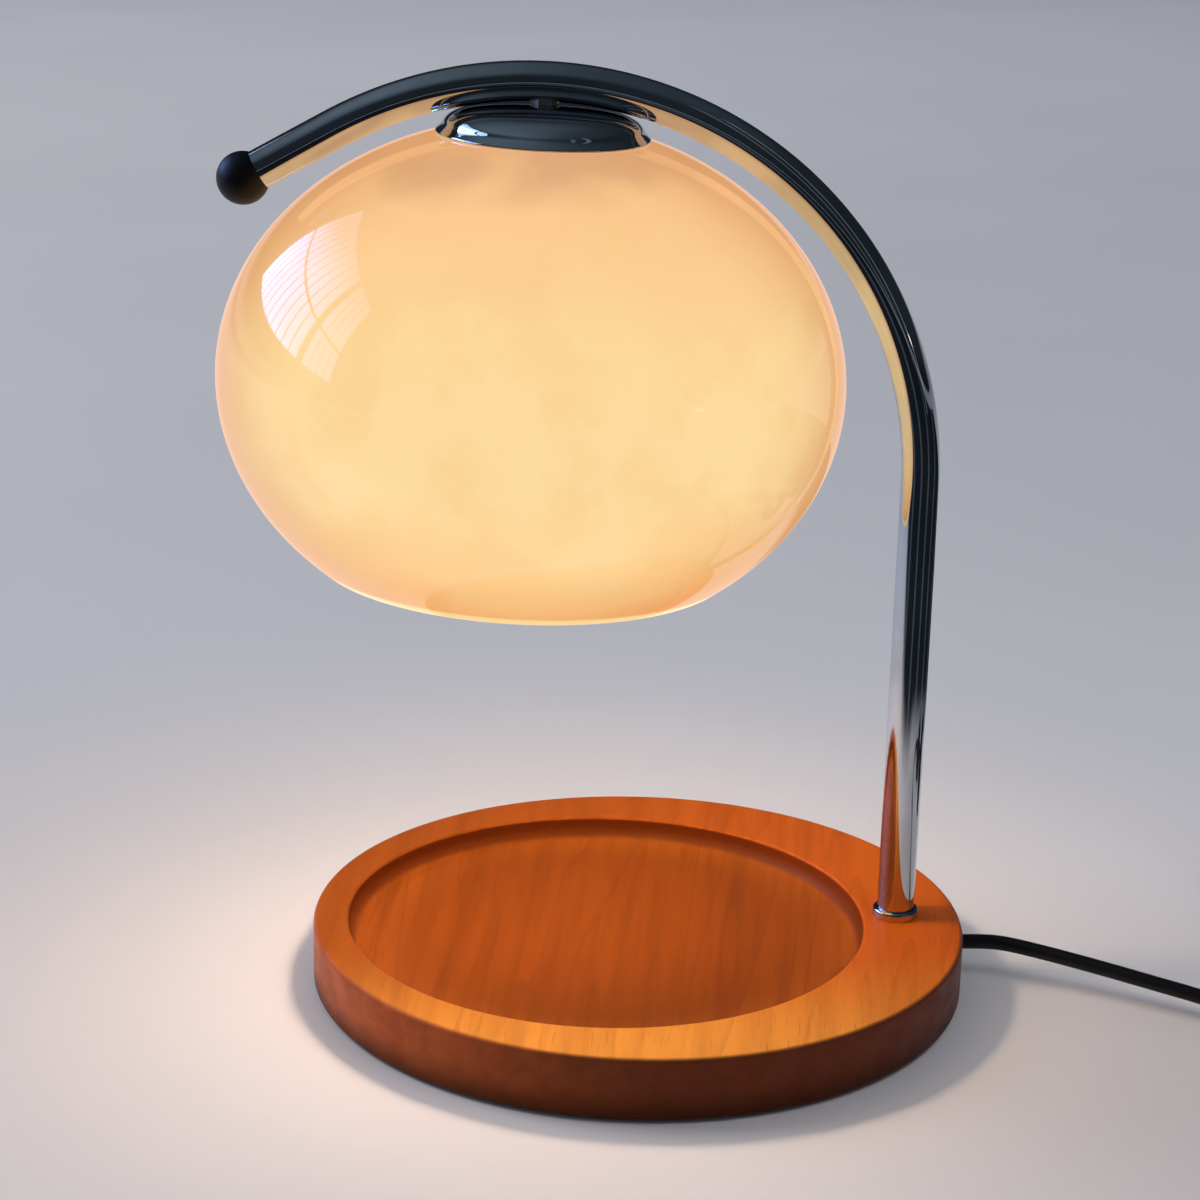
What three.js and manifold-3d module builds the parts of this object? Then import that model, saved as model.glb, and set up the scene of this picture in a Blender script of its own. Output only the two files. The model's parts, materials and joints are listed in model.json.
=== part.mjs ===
// Candle warmer lamp: a wooden base with a shallow round recess, a bent chrome tube as its arm, and a
// glass shade that hangs from the arm over the recess with a reflector bulb inside it.
// A mains lead leaves the base at the side, with a dimmer and a plug on it.
// Millimetres, +Z up. The origin is the middle of the base's underside, and the post stands towards +X.

import * as THREE from 'three';
import { mergeVertices } from 'three/addons/utils/BufferGeometryUtils.js';
import Module from 'manifold-3d';

const wasm = await Module();
wasm.setup();

// Sizes that several pieces share
const fit = 0.3; // gap between pieces that touch, seat in or pass through each other
const overrun = 2; // how far a cutting solid runs past the face that it cuts
const weld = 0.0001; // points nearer than this are one point

// Base
const baseDiameter = 210;
const baseThickness = 20.1;
const baseEdgeRound = 1.6;
const padThickness = 1;
const padInset = 4;
const rimWidth = 11.1; // from the base's side to the recess, at the end away from the post
const recessDepth = 7;
const recessCove = 4; // radius of the hollow corner between the recess's wall and floor

// Post and arm
const postInset = 21; // from the base's side to the post's axis
const postToRecess = 11.1; // from the post's axis to the recess
const tubeDiameter = 12;
const tubeWall = 1;
const bendHeight = 166.7; // where the post's straight run ends and the bend begins
const armClearance = 26.4; // from the shade's widest point to the tube's centreline
const bendPastTop = THREE.MathUtils.degToRad(29); // how far the bend runs on past its highest point
const armTail = 30.5; // from the bend's end to the middle of the ball
const ballDiameter = 16;
const ballSeat = 2; // from the ball's middle to the tube's end inside it
const collarDiameter = 15;
const collarHeight = 3;

// Threaded fittings, all on one thread size
const threadDiameter = 8;
const threadBore = 5;
const insertLength = 18; // of the plug inside the tube's foot
const shankLength = 12; // from the base's top down to the end of the thread
const wellDiameter = 21; // the well under the base that holds the washer and the nut
const wellDepth = 13.1;
const washerDiameter = 19;
const washerThickness = 1;
const nutAcross = 13; // across flats
const nutThickness = 3;

// Shade, cap and what clamps them
const shadeTilt = THREE.MathUtils.degToRad(1.75); // from the bend's top to the hanger, towards the post
const shadeRadius = 96;
const shadeHalfHeight = 78.4;
const shadeWall = 3;
const shadeTopRadius = 20;
const shadeMouthRadius = 64;
const capRadius = 32.25;
const capHeight = 8.7;
const capClearance = 1.4; // from the arm's underside down to the cap's highest point
const capWall = 1;
const capRadiusShares = [1, 1, 0.96, 0.915, 0.85, 0.68, 0.4];
const capHeightShares = [0, 0.06, 0.19, 0.42, 0.6, 0.82, 0.95];
const gasketWidth = 6;
const gasketThickness = 1.5;
const clampDiscThickness = 1.5;
const clampDiscRadius = 28;
const stemInTube = 4.4; // from the tube's centreline down to the stem's upper end

// Bulb holder
const bridgeWidth = 12;
const bridgeThickness = 1.2;
const bridgeHeight = 10;
const bridgeTopLength = 19;
const bridgeFootLength = 29;
const holderDiameter = 29.5;
const holderHeight = 16;
const holderScrewSpacing = 24.4;
const holderScrewDiameter = 2.4;
const holderScrewHead = 4.4;
const holderScrewHeadHeight = 1.4;
const holderScrewLength = 8;
const pinSpacing = 10;
const pinHeadDiameter = 5;
const pinHeadHeight = 2;
const pinNeckDiameter = 3;
const pinLength = 8;
const bulbBaseDiameter = 20;
const bulbBaseHeight = 14;
const reflectorDiameter = 50;
const reflectorHeight = 35;
const reflectorWall = 1.2;
const reflectorNeck = 22;
const lensThickness = 1.4;
const capsuleDiameter = 9;
const capsuleLength = 22;

// Mains lead
const cordDiameter = 4.8;
const cordExitHeight = 11.4;
const bushingDiameter = 8;
const bushingTaper = 0.8; // how much smaller the bushing's radius is at its inner end
const flexDiameter = 2.2; // of the cores that run on inside the post and arm
const flexBend = 3.4; // radius of the cores' bend from the arm into the stem
const flexAcrossShares = [0.74, 0.56, 0.3, 0.08]; // the cores' way in, as shares of the well's radius
const flexDownShares = [0.2, 0.5, 1, 0.9]; // the same points' way down to the well's floor
const coilMeanRadius = 28;
const coilTurns = 8;
const coilLayers = 4;
const coilSpacing = 0.6; // free space between neighbouring turns

// Dimmer on the lead
const dimmerLength = 64;
const dimmerWidth = 30;
const dimmerHeight = 16;
const dimmerSplit = 6.5; // height of the joint between the two shells, and of the lead's axis
const dimmerWall = 1.8;
const dimmerRound = 3.4;
const dialDiameter = 24;
const dialHeight = 6;
const dialFluteDepth = 0.7;
const dialFlutes = 18;
const dialSocketDepth = 4;
const shaftDiameter = 6;
const potDiameter = 17;
const potHeight = 7;
const potFloor = 2.4;
const boardLength = 38;
const boardWidth = 20;
const boardThickness = 1.6;
const dimmerScrewSpacing = 50;
const dimmerScrewDiameter = 2.4;
const dimmerScrewHead = 4.4;
const dimmerScrewHeadHeight = 1.2;
const dimmerScrewLength = 8;
const dimmerBossDiameter = 6;
const bootLength = 20;
const bootDiameter = 9;
const bootNeckDiameter = 6.8;
const bootNeckLength = 1.8;
const bootTipDiameter = 6.6;

// Plug at the lead's end
const plugLength = 30;
const plugFrontWidth = 24;
const plugBackWidth = 15;
const plugHeight = 13;
const plugRound = 2.6;
const bladeWidth = 6.3;
const bladeThickness = 1.5;
const bladeLength = 17;
const bladeSpacing = 12.7;
const bladeSeat = 6;

// Routes of the lead's free stretches, from the base to the plug, as points chosen by hand.
// X is measured from the base's side, where the lead comes out.
const leadRoute = [
  [0, 0, 11.4], [7, 0, 11.4], [14.2, -0.4, 11.2], [24.5, -5, 10.6], [35.3, -10.7, 9.9],
  [48.5, -18.3, 9], [61.8, -26.2, 8], [73, -32.8, 7.2], [85, -40.2, 5.7], [97, -48.4, 4],
  [107.6, -58.4, 2.7], [114.6, -71, 2.4], [117.4, -85, 2.4], [121.4, -99.9, 2.4], [132.3, -110.8, 2.4],
  [147.2, -114.8, 2.4], [162.1, -110.8, 2.6], [173, -99.9, 3.4], [177, -85, 5], [177, -76, 6.2],
  [177, -70, 6.5],
];
const supplyRoute = [
  [177, 34.6, 6.5], [177, 39, 6.2], [177, 45, 4.6], [177, 51, 3], [177, 56, 2.4], [177, 60, 2.4],
];
const tailRoute = [
  [177, 70.2, 18.6], [177, 75, 18.4], [177, 82, 16.2], [177, 90, 11.6], [177, 97, 7.8], [177, 102, 6.6],
  [177, 106, 6.5],
];

// Finishes
const wood = { color: 0xb35a22, roughness: 0.45, metalness: 0 };
const chrome = { color: 0xc9ccd0, roughness: 0.08, metalness: 1 };
const steel = { color: 0xa8abae, roughness: 0.35, metalness: 1 };
const amberGlass = { color: 0xf2c184, roughness: 0.12, metalness: 0 };
const clearGlass = { color: 0xe8eef0, roughness: 0.05, metalness: 0 };
const blackRubber = { color: 0x161616, roughness: 0.6, metalness: 0 };
const blackPlastic = { color: 0x1c1c1e, roughness: 0.45, metalness: 0 };
const silicone = { color: 0xdcdcd6, roughness: 0.7, metalness: 0 };
const ceramic = { color: 0xf1ede4, roughness: 0.5, metalness: 0 };
const mirror = { color: 0xe4e4e6, roughness: 0.1, metalness: 0.9 };
const brass = { color: 0xc9a95c, roughness: 0.3, metalness: 1 };
const boardGreen = { color: 0x2d5b3b, roughness: 0.5, metalness: 0 };

// Numbers of facets
const wideSides = 60;
const shadeSides = 48;
const capSides = 24;
const turnedSides = 20;
const smallSides = 12;
const tubeSides = 16;
const boreSides = 10;
const cordSides = 8;
const coilSides = 6;
const stepsPerTurn = 24;
const bendSteps = 34;
const shadeSteps = 14;
const roundSteps = 2;
const flexStepsInWell = 15;
const flexStepsOnBend = 30;
const leadStepInDiameters = 2.2;
const tailStepInDiameters = 1.5;
const measuresPerRoutePoint = 40;

// Places that follow from the sizes above
const baseTop = padThickness + baseThickness;
const baseRadius = baseDiameter / 2;
const recessFloor = baseTop - recessDepth;
const wellTop = padThickness + wellDepth;
const postOffset = baseRadius - postInset;
const recessNear = postOffset - postToRecess; // from the base's centre to the recess's edge at the post
const recessFar = baseRadius - rimWidth;
const recessDiameter = recessNear + recessFar;
const recessShift = (recessFar - recessNear) / 2;
const bendRadius = shadeRadius + armClearance; // of the tube's centreline
const bendCentre = new THREE.Vector3(postOffset - bendRadius, 0, bendHeight);
const threadHole = threadDiameter / 2 + fit;
const cordRadius = cordDiameter / 2;
const shadeTopAngle = Math.asin(shadeTopRadius / shadeRadius);
const shadeMouthAngle = Math.PI - Math.asin(shadeMouthRadius / shadeRadius);

const lamp = new THREE.Group();

// A closed geometry whose shared points are one point and whose faces point outwards.
function closed(geometry) {
  geometry.deleteAttribute('normal');
  geometry.deleteAttribute('uv');
  const merged = mergeVertices(geometry, weld);
  const corners = [];
  const [a, b, c] = [new THREE.Vector3(), new THREE.Vector3(), new THREE.Vector3()];
  let volume = 0;
  for (let i = 0; i < merged.index.count; i += 3) {
    const [p, q, r] = [0, 1, 2].map((k) => merged.index.getX(i + k));
    if (p === q || q === r || r === p) continue;
    a.fromBufferAttribute(merged.attributes.position, p);
    b.fromBufferAttribute(merged.attributes.position, q);
    c.fromBufferAttribute(merged.attributes.position, r);
    volume += a.dot(b.cross(c));
    corners.push(p, q, r);
  }
  if (volume < 0) corners.reverse();
  merged.setIndex(corners);
  return merged;
}

function manifoldOf(geometry) {
  const shape = closed(geometry);
  return new wasm.Manifold(new wasm.Mesh({
    numProp: 3,
    vertProperties: Float32Array.from(shape.attributes.position.array),
    triVerts: Uint32Array.from(shape.index.array),
  }));
}

function geometryOf(manifold) {
  const mesh = manifold.getMesh();
  const geometry = new THREE.BufferGeometry();
  geometry.setAttribute('position', new THREE.BufferAttribute(mesh.vertProperties, 3));
  geometry.setIndex(new THREE.BufferAttribute(mesh.triVerts, 1));
  return geometry;
}

// The first solid with the others taken away from it.
function cut(body, ...tools) {
  return geometryOf(tools.reduce((left, tool) => left.subtract(manifoldOf(tool)), manifoldOf(body)));
}

// The solids joined into one.
function joined(body, ...more) {
  return geometryOf(more.reduce((sum, piece) => sum.add(manifoldOf(piece)), manifoldOf(body)));
}

// What two solids have in common.
function common(body, other) {
  return geometryOf(manifoldOf(body).intersect(manifoldOf(other)));
}

// Turns a profile of [radius, height] points about the Z axis.
function turned(profile, sides) {
  const points = profile.map(([radius, height]) => new THREE.Vector2(radius, height));
  return closed(new THREE.LatheGeometry(points, sides).rotateX(Math.PI / 2));
}

// A round bar along Z from one height to another.
function rod(diameter, bottom, top, sides) {
  return turned([[0, bottom], [diameter / 2, bottom], [diameter / 2, top], [0, top]], sides);
}

// A flat ring round the Z axis.
function ring(inner, outer, bottom, top, sides) {
  return turned([[inner, bottom], [outer, bottom], [outer, top], [inner, top], [inner, bottom]], sides);
}

// A hexagon nut on the Z axis, with a hole that clears the thread.
function nut(bottom, top) {
  const prism = rod(nutAcross / Math.cos(Math.PI / 6), bottom, top, 6);
  return cut(prism, rod(2 * threadHole, bottom - overrun, top + overrun, smallSides));
}

// A screw with its head at the lower end, standing on the Z axis.
function screw(diameter, head, headHeight, length) {
  return turned([
    [0, 0], [head / 2, 0], [head / 2, headHeight], [diameter / 2, headHeight],
    [diameter / 2, headHeight + length], [0, headHeight + length],
  ], smallSides);
}

// A line through given points that keeps them all, for sweeping a section along it.
class Route extends THREE.Curve {
  constructor(points) {
    super();
    this.points = points;
  }

  getPointAt(share) {
    const at = share * (this.points.length - 1);
    const from = Math.min(Math.floor(at), this.points.length - 2);
    return this.points[from].clone().lerp(this.points[from + 1], at - from);
  }

  getTangentAt(share) {
    const last = this.points.length - 1;
    const middle = Math.round(share * last);
    const [before, after] = [Math.max(middle - 1, 0), Math.min(middle + 1, last)];
    return this.points[after].clone().sub(this.points[before]).normalize();
  }
}

// A round tube or bar that follows the points, with a bore where one is given.
function swept(points, diameter, sides, bore = 0, boreFacets = sides) {
  const circle = (size, facets) => Array.from({ length: facets }, (_, i) => {
    const angle = (2 * Math.PI * i) / facets;
    return new THREE.Vector2(size / 2 * Math.cos(angle), size / 2 * Math.sin(angle));
  });
  const section = new THREE.Shape(circle(diameter, sides));
  if (bore > 0) section.holes.push(new THREE.Path(circle(bore, boreFacets)));
  return closed(new THREE.ExtrudeGeometry(section, {
    steps: points.length - 1,
    extrudePath: new Route(points),
  }));
}

// Points a given number of diameters apart on one smooth curve through the points of a cord's route.
function smooth(route, stepInDiameters) {
  const points = route.map((point) => new THREE.Vector3(...point));
  const curve = new THREE.CatmullRomCurve3(points, false, 'centripetal');
  curve.arcLengthDivisions = measuresPerRoutePoint * route.length;
  return curve.getSpacedPoints(Math.ceil(curve.getLength() / (stepInDiameters * cordDiameter)));
}

// A long outline with half-round ends, along Y.
function stadium(width, length) {
  const shape = new THREE.Shape();
  const straight = (length - width) / 2;
  shape.absarc(0, straight, width / 2, 0, Math.PI, false);
  shape.absarc(0, -straight, width / 2, Math.PI, 2 * Math.PI, false);
  return shape;
}

// An outline raised along Z to a height, with its upper and lower edges rounded.
function cushioned(outline, bottom, top, round) {
  return new THREE.ExtrudeGeometry(outline, {
    depth: top - bottom - 2 * round,
    bevelThickness: round,
    bevelSize: round,
    bevelOffset: -round,
    bevelSegments: roundSteps,
    curveSegments: smallSides / 2,
  }).translate(0, 0, bottom + round);
}

// The height of a profile of [radius, height] points where it first passes a radius.
function heightAt(profile, radius) {
  const next = profile.findIndex(([r], i) => i > 0 && (r - radius) * (profile[i - 1][0] - radius) <= 0);
  const [[r0, h0], [r1, h1]] = [profile[next - 1], profile[next]];
  return h0 + ((h1 - h0) * (radius - r0)) / (r1 - r0);
}

function add(group, name, geometry, finish) {
  const mesh = new THREE.Mesh(closed(geometry), new THREE.MeshStandardMaterial(finish));
  mesh.name = name;
  group.add(mesh);
  return mesh;
}

// Base: a turned disc with a shallow recess, a well under the post and a hole for the lead
function baseDisc() {
  const round = baseEdgeRound;
  const corner = (turn) => round * (1 - Math.cos((turn * Math.PI) / 6));
  const edge = [0, 1, 2, 3].map((k) => [baseRadius - corner(3 - k), padThickness + corner(k)]);
  const topEdge = edge.map(([radius, height]) => [radius, padThickness + baseTop - height]).reverse();
  const disc = turned([[0, padThickness], ...edge, ...topEdge, [0, baseTop]], wideSides);

  const coveCentre = recessDiameter / 2 - recessCove;
  const cove = [0, 1, 2, 3].map((k) => {
    const angle = (k * Math.PI) / 6;
    return [coveCentre + recessCove * Math.sin(angle), recessFloor + recessCove * (1 - Math.cos(angle))];
  });
  const recess = turned([
    [0, recessFloor], ...cove, [recessDiameter / 2, baseTop + overrun], [0, baseTop + overrun],
  ], wideSides).translate(-recessShift, 0, 0);

  const well = rod(wellDiameter, padThickness - overrun, wellTop, turnedSides);
  const threadWay = rod(2 * threadHole, wellTop - overrun, baseTop + overrun, smallSides);
  const leadWay = rod(bushingDiameter + 2 * fit, 0, baseRadius - postOffset + overrun, tubeSides)
    .rotateY(Math.PI / 2).translate(0, 0, cordExitHeight);
  const underPost = [well, threadWay, leadWay].map((tool) => tool.translate(postOffset, 0, 0));
  return cut(disc, recess, ...underPost);
}

add(lamp, 'base_disc', baseDisc(), wood);
add(lamp, 'base_pad', rod(baseDiameter - 2 * padInset, 0, padThickness, wideSides), blackRubber);

// The bushing is tapered inwards, and its outer end is level with the base's side.
function leadBushing() {
  const inner = postOffset + wellDiameter / 2;
  const outer = baseRadius - 2 * fit;
  const bore = cordRadius + fit;
  return turned([
    [bore, inner], [bushingDiameter / 2 - bushingTaper, inner], [bushingDiameter / 2, outer], [bore, outer],
    [bore, inner],
  ], tubeSides).rotateY(Math.PI / 2).translate(0, 0, cordExitHeight);
}

add(lamp, 'lead_bushing', leadBushing(), blackRubber);
const leadEnd = postOffset + wellDiameter / 2 - fit;
add(lamp, 'lead_tail', rod(cordDiameter, leadEnd, baseRadius - fit, cordSides)
  .rotateY(Math.PI / 2).translate(0, 0, cordExitHeight), blackRubber);

// Post foot: a threaded insert in the tube's end goes through the base to a washer and a nut in the well
const shankEnd = baseTop - shankLength;
const insertRadius = tubeDiameter / 2 - tubeWall - fit;

function postInsert() {
  const bore = threadBore / 2;
  const thread = threadDiameter / 2;
  return turned([
    [bore, shankEnd], [thread, shankEnd], [thread, baseTop], [insertRadius, baseTop],
    [insertRadius, baseTop + insertLength], [bore, baseTop + insertLength], [bore, shankEnd],
  ], tubeSides);
}

function postCollar() {
  const inner = tubeDiameter / 2 + fit;
  const outer = collarDiameter / 2;
  const bulge = [0, 1, 2, 3, 4].map((k) => {
    const angle = (k * Math.PI) / 8;
    return [inner + (outer - inner) * Math.cos(angle), baseTop + collarHeight / 2 * (1 + Math.sin(angle))];
  });
  return turned([[inner, baseTop], [outer, baseTop], ...bulge, [inner, baseTop]], turnedSides);
}

const foot = new THREE.Group();
foot.position.x = postOffset;
lamp.add(foot);
add(foot, 'post_insert', postInsert(), steel);
const washerBottom = wellTop - washerThickness;
add(foot, 'post_washer', ring(threadHole, washerDiameter / 2, washerBottom, wellTop, turnedSides), steel);
add(foot, 'post_nut', nut(washerBottom - nutThickness, washerBottom), steel);
add(foot, 'post_collar', postCollar(), chrome);

// Arm: one tube, straight up, bent over in one arc and straight again down to the ball
function armPoint(angle) {
  return new THREE.Vector3(Math.cos(angle), 0, Math.sin(angle)).multiplyScalar(bendRadius).add(bendCentre);
}

const bendEnd = Math.PI / 2 + bendPastTop;
const tailDirection = new THREE.Vector3(-Math.sin(bendEnd), 0, Math.cos(bendEnd));
const ballCentre = armPoint(bendEnd).addScaledVector(tailDirection, armTail);
const bendPoints = Array.from({ length: bendSteps + 1 }, (_, i) => armPoint((bendEnd * i) / bendSteps));

// The hanger's own frame: Z runs from the bend's centre up through the stem to the tube.
const hanger = new THREE.Group();
hanger.position.copy(bendCentre);
hanger.rotation.y = shadeTilt;
hanger.updateMatrix();
lamp.add(hanger);

function armTube() {
  const points = [
    new THREE.Vector3(postOffset, 0, baseTop), ...bendPoints,
    ballCentre.clone().addScaledVector(tailDirection, -ballSeat),
  ];
  const tube = swept(points, tubeDiameter, tubeSides, tubeDiameter - 2 * tubeWall, boreSides);
  const stemHole = rod(2 * threadHole, bendRadius - tubeDiameter / 2 - overrun, bendRadius, smallSides);
  return cut(tube, stemHole.applyMatrix4(hanger.matrix));
}

add(lamp, 'arm_tube', armTube(), chrome);

function ballCap() {
  const ball = new THREE.SphereGeometry(ballDiameter / 2, turnedSides, smallSides);
  const bore = tubeDiameter + 2 * fit;
  return cut(ball, rod(bore, ballSeat - fit, ballDiameter, tubeSides));
}

const ball = add(lamp, 'ball_cap', ballCap(), blackRubber);
ball.position.copy(ballCentre);
ball.quaternion.setFromUnitVectors(new THREE.Vector3(0, 0, 1), tailDirection.clone().negate());

// Shade: a flattened glass globe, open at the top under the cap and at the bottom
function shadeSide(wall, centre) {
  return Array.from({ length: shadeSteps + 1 }, (_, i) => {
    const angle = shadeTopAngle + ((shadeMouthAngle - shadeTopAngle) * i) / shadeSteps;
    return [(shadeRadius - wall) * Math.sin(angle), centre + (shadeHalfHeight - wall) * Math.cos(angle)];
  });
}

// The cap hangs just under the arm, and the shade's centre lies where its side meets the cap's rim.
const capRim = bendRadius - tubeDiameter / 2 - capClearance - capHeight;
const shadeCentre = capRim - fit - heightAt(shadeSide(0, 0), capRadius - capWall);
const shadeOuter = shadeSide(0, shadeCentre);
const shadeInner = shadeSide(shadeWall, shadeCentre);
const shadeSection = [...shadeOuter, ...[...shadeInner].reverse(), shadeOuter[0]];
add(hanger, 'glass_shade', turned(shadeSection, shadeSides), amberGlass);

// Cap: a thin pressed dome with a turned-out rim, over the shade's upper opening
const capOuter = capRadiusShares.map((share, i) => [
  share * capRadius, capRim + capHeightShares[i] * capHeight,
]);
capOuter.push([threadHole, capRim + capHeight]);

// The same profile moved inwards by a wall, square to itself.
function inset(profile, wall) {
  return profile.map((_, i) => {
    const [r0, h0] = profile[Math.max(i - 1, 0)];
    const [r1, h1] = profile[Math.min(i + 1, profile.length - 1)];
    const along = Math.hypot(r1 - r0, h1 - h0);
    const [radius, height] = profile[i];
    return [radius - (wall * (h1 - h0)) / along, height + (wall * (r1 - r0)) / along];
  });
}

const capInner = inset(capOuter, capWall);
capInner[capInner.length - 1][0] = threadHole;
const capSection = [...capOuter, ...[...capInner].reverse(), capOuter[0]];
add(hanger, 'shade_cap', turned(capSection, capSides), chrome);

// Two soft rings hold the glass between the cap and the clamp disc.
const gasketInner = shadeTopRadius + 2 * fit;
const gasketOuter = gasketInner + gasketWidth;
const clampTop = heightAt(shadeInner, gasketOuter) - fit - gasketThickness;
const capGasket = [
  [gasketInner, heightAt(shadeOuter, gasketInner) + fit],
  [gasketOuter, heightAt(shadeOuter, gasketOuter) + fit],
  [gasketOuter, heightAt(capInner, gasketOuter) - 2 * fit],
  [gasketInner, heightAt(capInner, gasketInner) - 2 * fit],
];
const glassGasket = [
  [gasketInner, heightAt(shadeInner, gasketInner) - fit],
  [gasketInner, clampTop],
  [gasketOuter, clampTop],
  [gasketOuter, heightAt(shadeInner, gasketOuter) - fit],
];
add(hanger, 'cap_gasket', turned([...capGasket, capGasket[0]], turnedSides), silicone);
add(hanger, 'glass_gasket', turned([...glassGasket, glassGasket[0]], turnedSides), silicone);

// Stem and clamp: the hollow threaded stem carries cap, shade, clamp disc and holder, nut by nut
const discTop = clampTop - fit;
const clampNutTop = discTop - clampDiscThickness - fit;
const bridgeTop = clampNutTop - nutThickness - fit;
const bridgeNutTop = bridgeTop - bridgeThickness - fit;
const stemEnd = bridgeNutTop - nutThickness - fit;
const stemTop = bendRadius - stemInTube;
const discBottom = discTop - clampDiscThickness;
add(hanger, 'clamp_disc', ring(threadHole, clampDiscRadius, discBottom, discTop, turnedSides), steel);
add(hanger, 'clamp_nut', nut(clampNutTop - nutThickness, clampNutTop), steel);
add(hanger, 'bridge_nut', nut(bridgeNutTop - nutThickness, bridgeNutTop), steel);
add(hanger, 'hanger_stem', ring(threadBore / 2, threadDiameter / 2, stemEnd, stemTop, smallSides), steel);

// Bridge: a bent strap over the lower nut, with two feet that the holder is screwed to
const bridgeFoot = bridgeTop - bridgeHeight;
const holderTop = bridgeFoot - fit;

function holderBridge() {
  const [half, reach, t] = [bridgeTopLength / 2, bridgeFootLength / 2, bridgeThickness];
  const outline = new THREE.Shape([
    [-reach, bridgeFoot], [-half + t, bridgeFoot], [-half + t, bridgeTop - t], [half - t, bridgeTop - t],
    [half - t, bridgeFoot], [reach, bridgeFoot], [reach, bridgeFoot + t], [half, bridgeFoot + t],
    [half, bridgeTop], [-half, bridgeTop], [-half, bridgeFoot + t], [-reach, bridgeFoot + t],
  ].map(([x, y]) => new THREE.Vector2(x, y)));
  const strap = new THREE.ExtrudeGeometry(outline, { depth: bridgeWidth, bevelEnabled: false })
    .translate(0, 0, -bridgeWidth / 2).rotateX(Math.PI / 2);
  const stemHole = rod(2 * threadHole, bridgeTop - overrun, bridgeTop + overrun, smallSides);
  const screwHoles = [-1, 1].map((side) => rod(
    holderScrewDiameter + 2 * fit, bridgeFoot - overrun, bridgeFoot + overrun, smallSides,
  ).translate(side * holderScrewSpacing / 2, 0, 0));
  return cut(strap, stemHole, ...screwHoles);
}

add(hanger, 'holder_bridge', holderBridge(), steel);

// Holder: a ceramic block with two sockets for the bulb's pins
function holderBody() {
  const block = rod(holderDiameter, holderTop - holderHeight, holderTop, turnedSides);
  const sockets = [-1, 1].map((side) => rod(
    pinHeadDiameter + 2 * fit, holderTop - holderHeight - overrun,
    holderTop - holderHeight + pinLength + fit, smallSides,
  ).translate(side * pinSpacing / 2, 0, 0));
  const screwHoles = [-1, 1].map((side) => rod(
    holderScrewDiameter + 2 * fit, holderTop - holderScrewLength, holderTop + overrun, smallSides,
  ).translate(side * holderScrewSpacing / 2, 0, 0));
  return cut(block, ...sockets, ...screwHoles);
}

add(hanger, 'holder_body', holderBody(), ceramic);
for (const side of [-1, 1]) {
  const name = `holder_screw_${side < 0 ? 1 : 2}`;
  const length = holderScrewLength + bridgeThickness - fit;
  const bolt = screw(holderScrewDiameter, holderScrewHead, holderScrewHeadHeight, length);
  const head = bridgeFoot + bridgeThickness + holderScrewHeadHeight + fit;
  add(hanger, name, bolt.rotateX(Math.PI).translate(side * holderScrewSpacing / 2, 0, head), steel);
}

// Bulb: a reflector lamp on two pins, with a halogen capsule behind its front lens
const bulbTop = holderTop - holderHeight - fit;
const bulbBaseEnd = bulbTop - bulbBaseHeight;
const reflectorTop = bulbBaseEnd - fit;
const reflectorFront = reflectorTop - reflectorHeight;
const reflectorBore = bulbBaseDiameter / 2 - fit;

for (const side of [-1, 1]) {
  const [neck, head] = [pinNeckDiameter / 2, pinHeadDiameter / 2];
  const start = bulbTop + fit;
  const pin = turned([
    [0, start], [neck, start], [neck, start + pinLength - pinHeadHeight - fit],
    [head, start + pinLength - pinHeadHeight - fit], [head, start + pinLength - fit],
    [0, start + pinLength - fit],
  ], smallSides);
  add(hanger, `bulb_pin_${side < 0 ? 1 : 2}`, pin.translate(side * pinSpacing / 2, 0, 0), brass);
}

add(hanger, 'bulb_base', rod(bulbBaseDiameter, bulbBaseEnd, bulbTop, turnedSides), ceramic);

function reflectorSide(share) {
  const neck = reflectorNeck / 2;
  return [neck + (reflectorDiameter / 2 - neck) * Math.sqrt(share), reflectorTop - reflectorHeight * share];
}

const reflectorShares = [0, 0.02, 0.08, 0.2, 0.4, 0.65, 1];
const reflectorOuter = reflectorShares.map(reflectorSide);
const reflectorInner = inset([...reflectorOuter].reverse(), reflectorWall).reverse();
reflectorInner[0] = [reflectorBore, reflectorTop - reflectorWall];
reflectorInner[reflectorInner.length - 1][1] = reflectorFront;
const reflectorStart = [reflectorBore, reflectorTop];
const reflectorSection = [reflectorStart, ...reflectorOuter, ...reflectorInner.reverse(), reflectorStart];
add(hanger, 'bulb_reflector', turned(reflectorSection, turnedSides), mirror);

const lensDiameter = reflectorDiameter - 2 * reflectorWall - 6 * fit;
const lensTop = reflectorFront + lensThickness;
add(hanger, 'bulb_lens', rod(lensDiameter, reflectorFront, lensTop, turnedSides), clearGlass);

function bulbCapsule() {
  const [radius, top] = [capsuleDiameter / 2, reflectorTop];
  const tip = [0, 1, 2, 3].map((k) => {
    const angle = (k * Math.PI) / 6;
    return [radius * Math.cos(angle), top - capsuleLength + radius - radius * Math.sin(angle)];
  });
  return turned([[0, top], [radius, top], ...tip.slice(0, -1), [0, top - capsuleLength]], smallSides);
}

add(hanger, 'bulb_capsule', bulbCapsule(), clearGlass);

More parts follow.
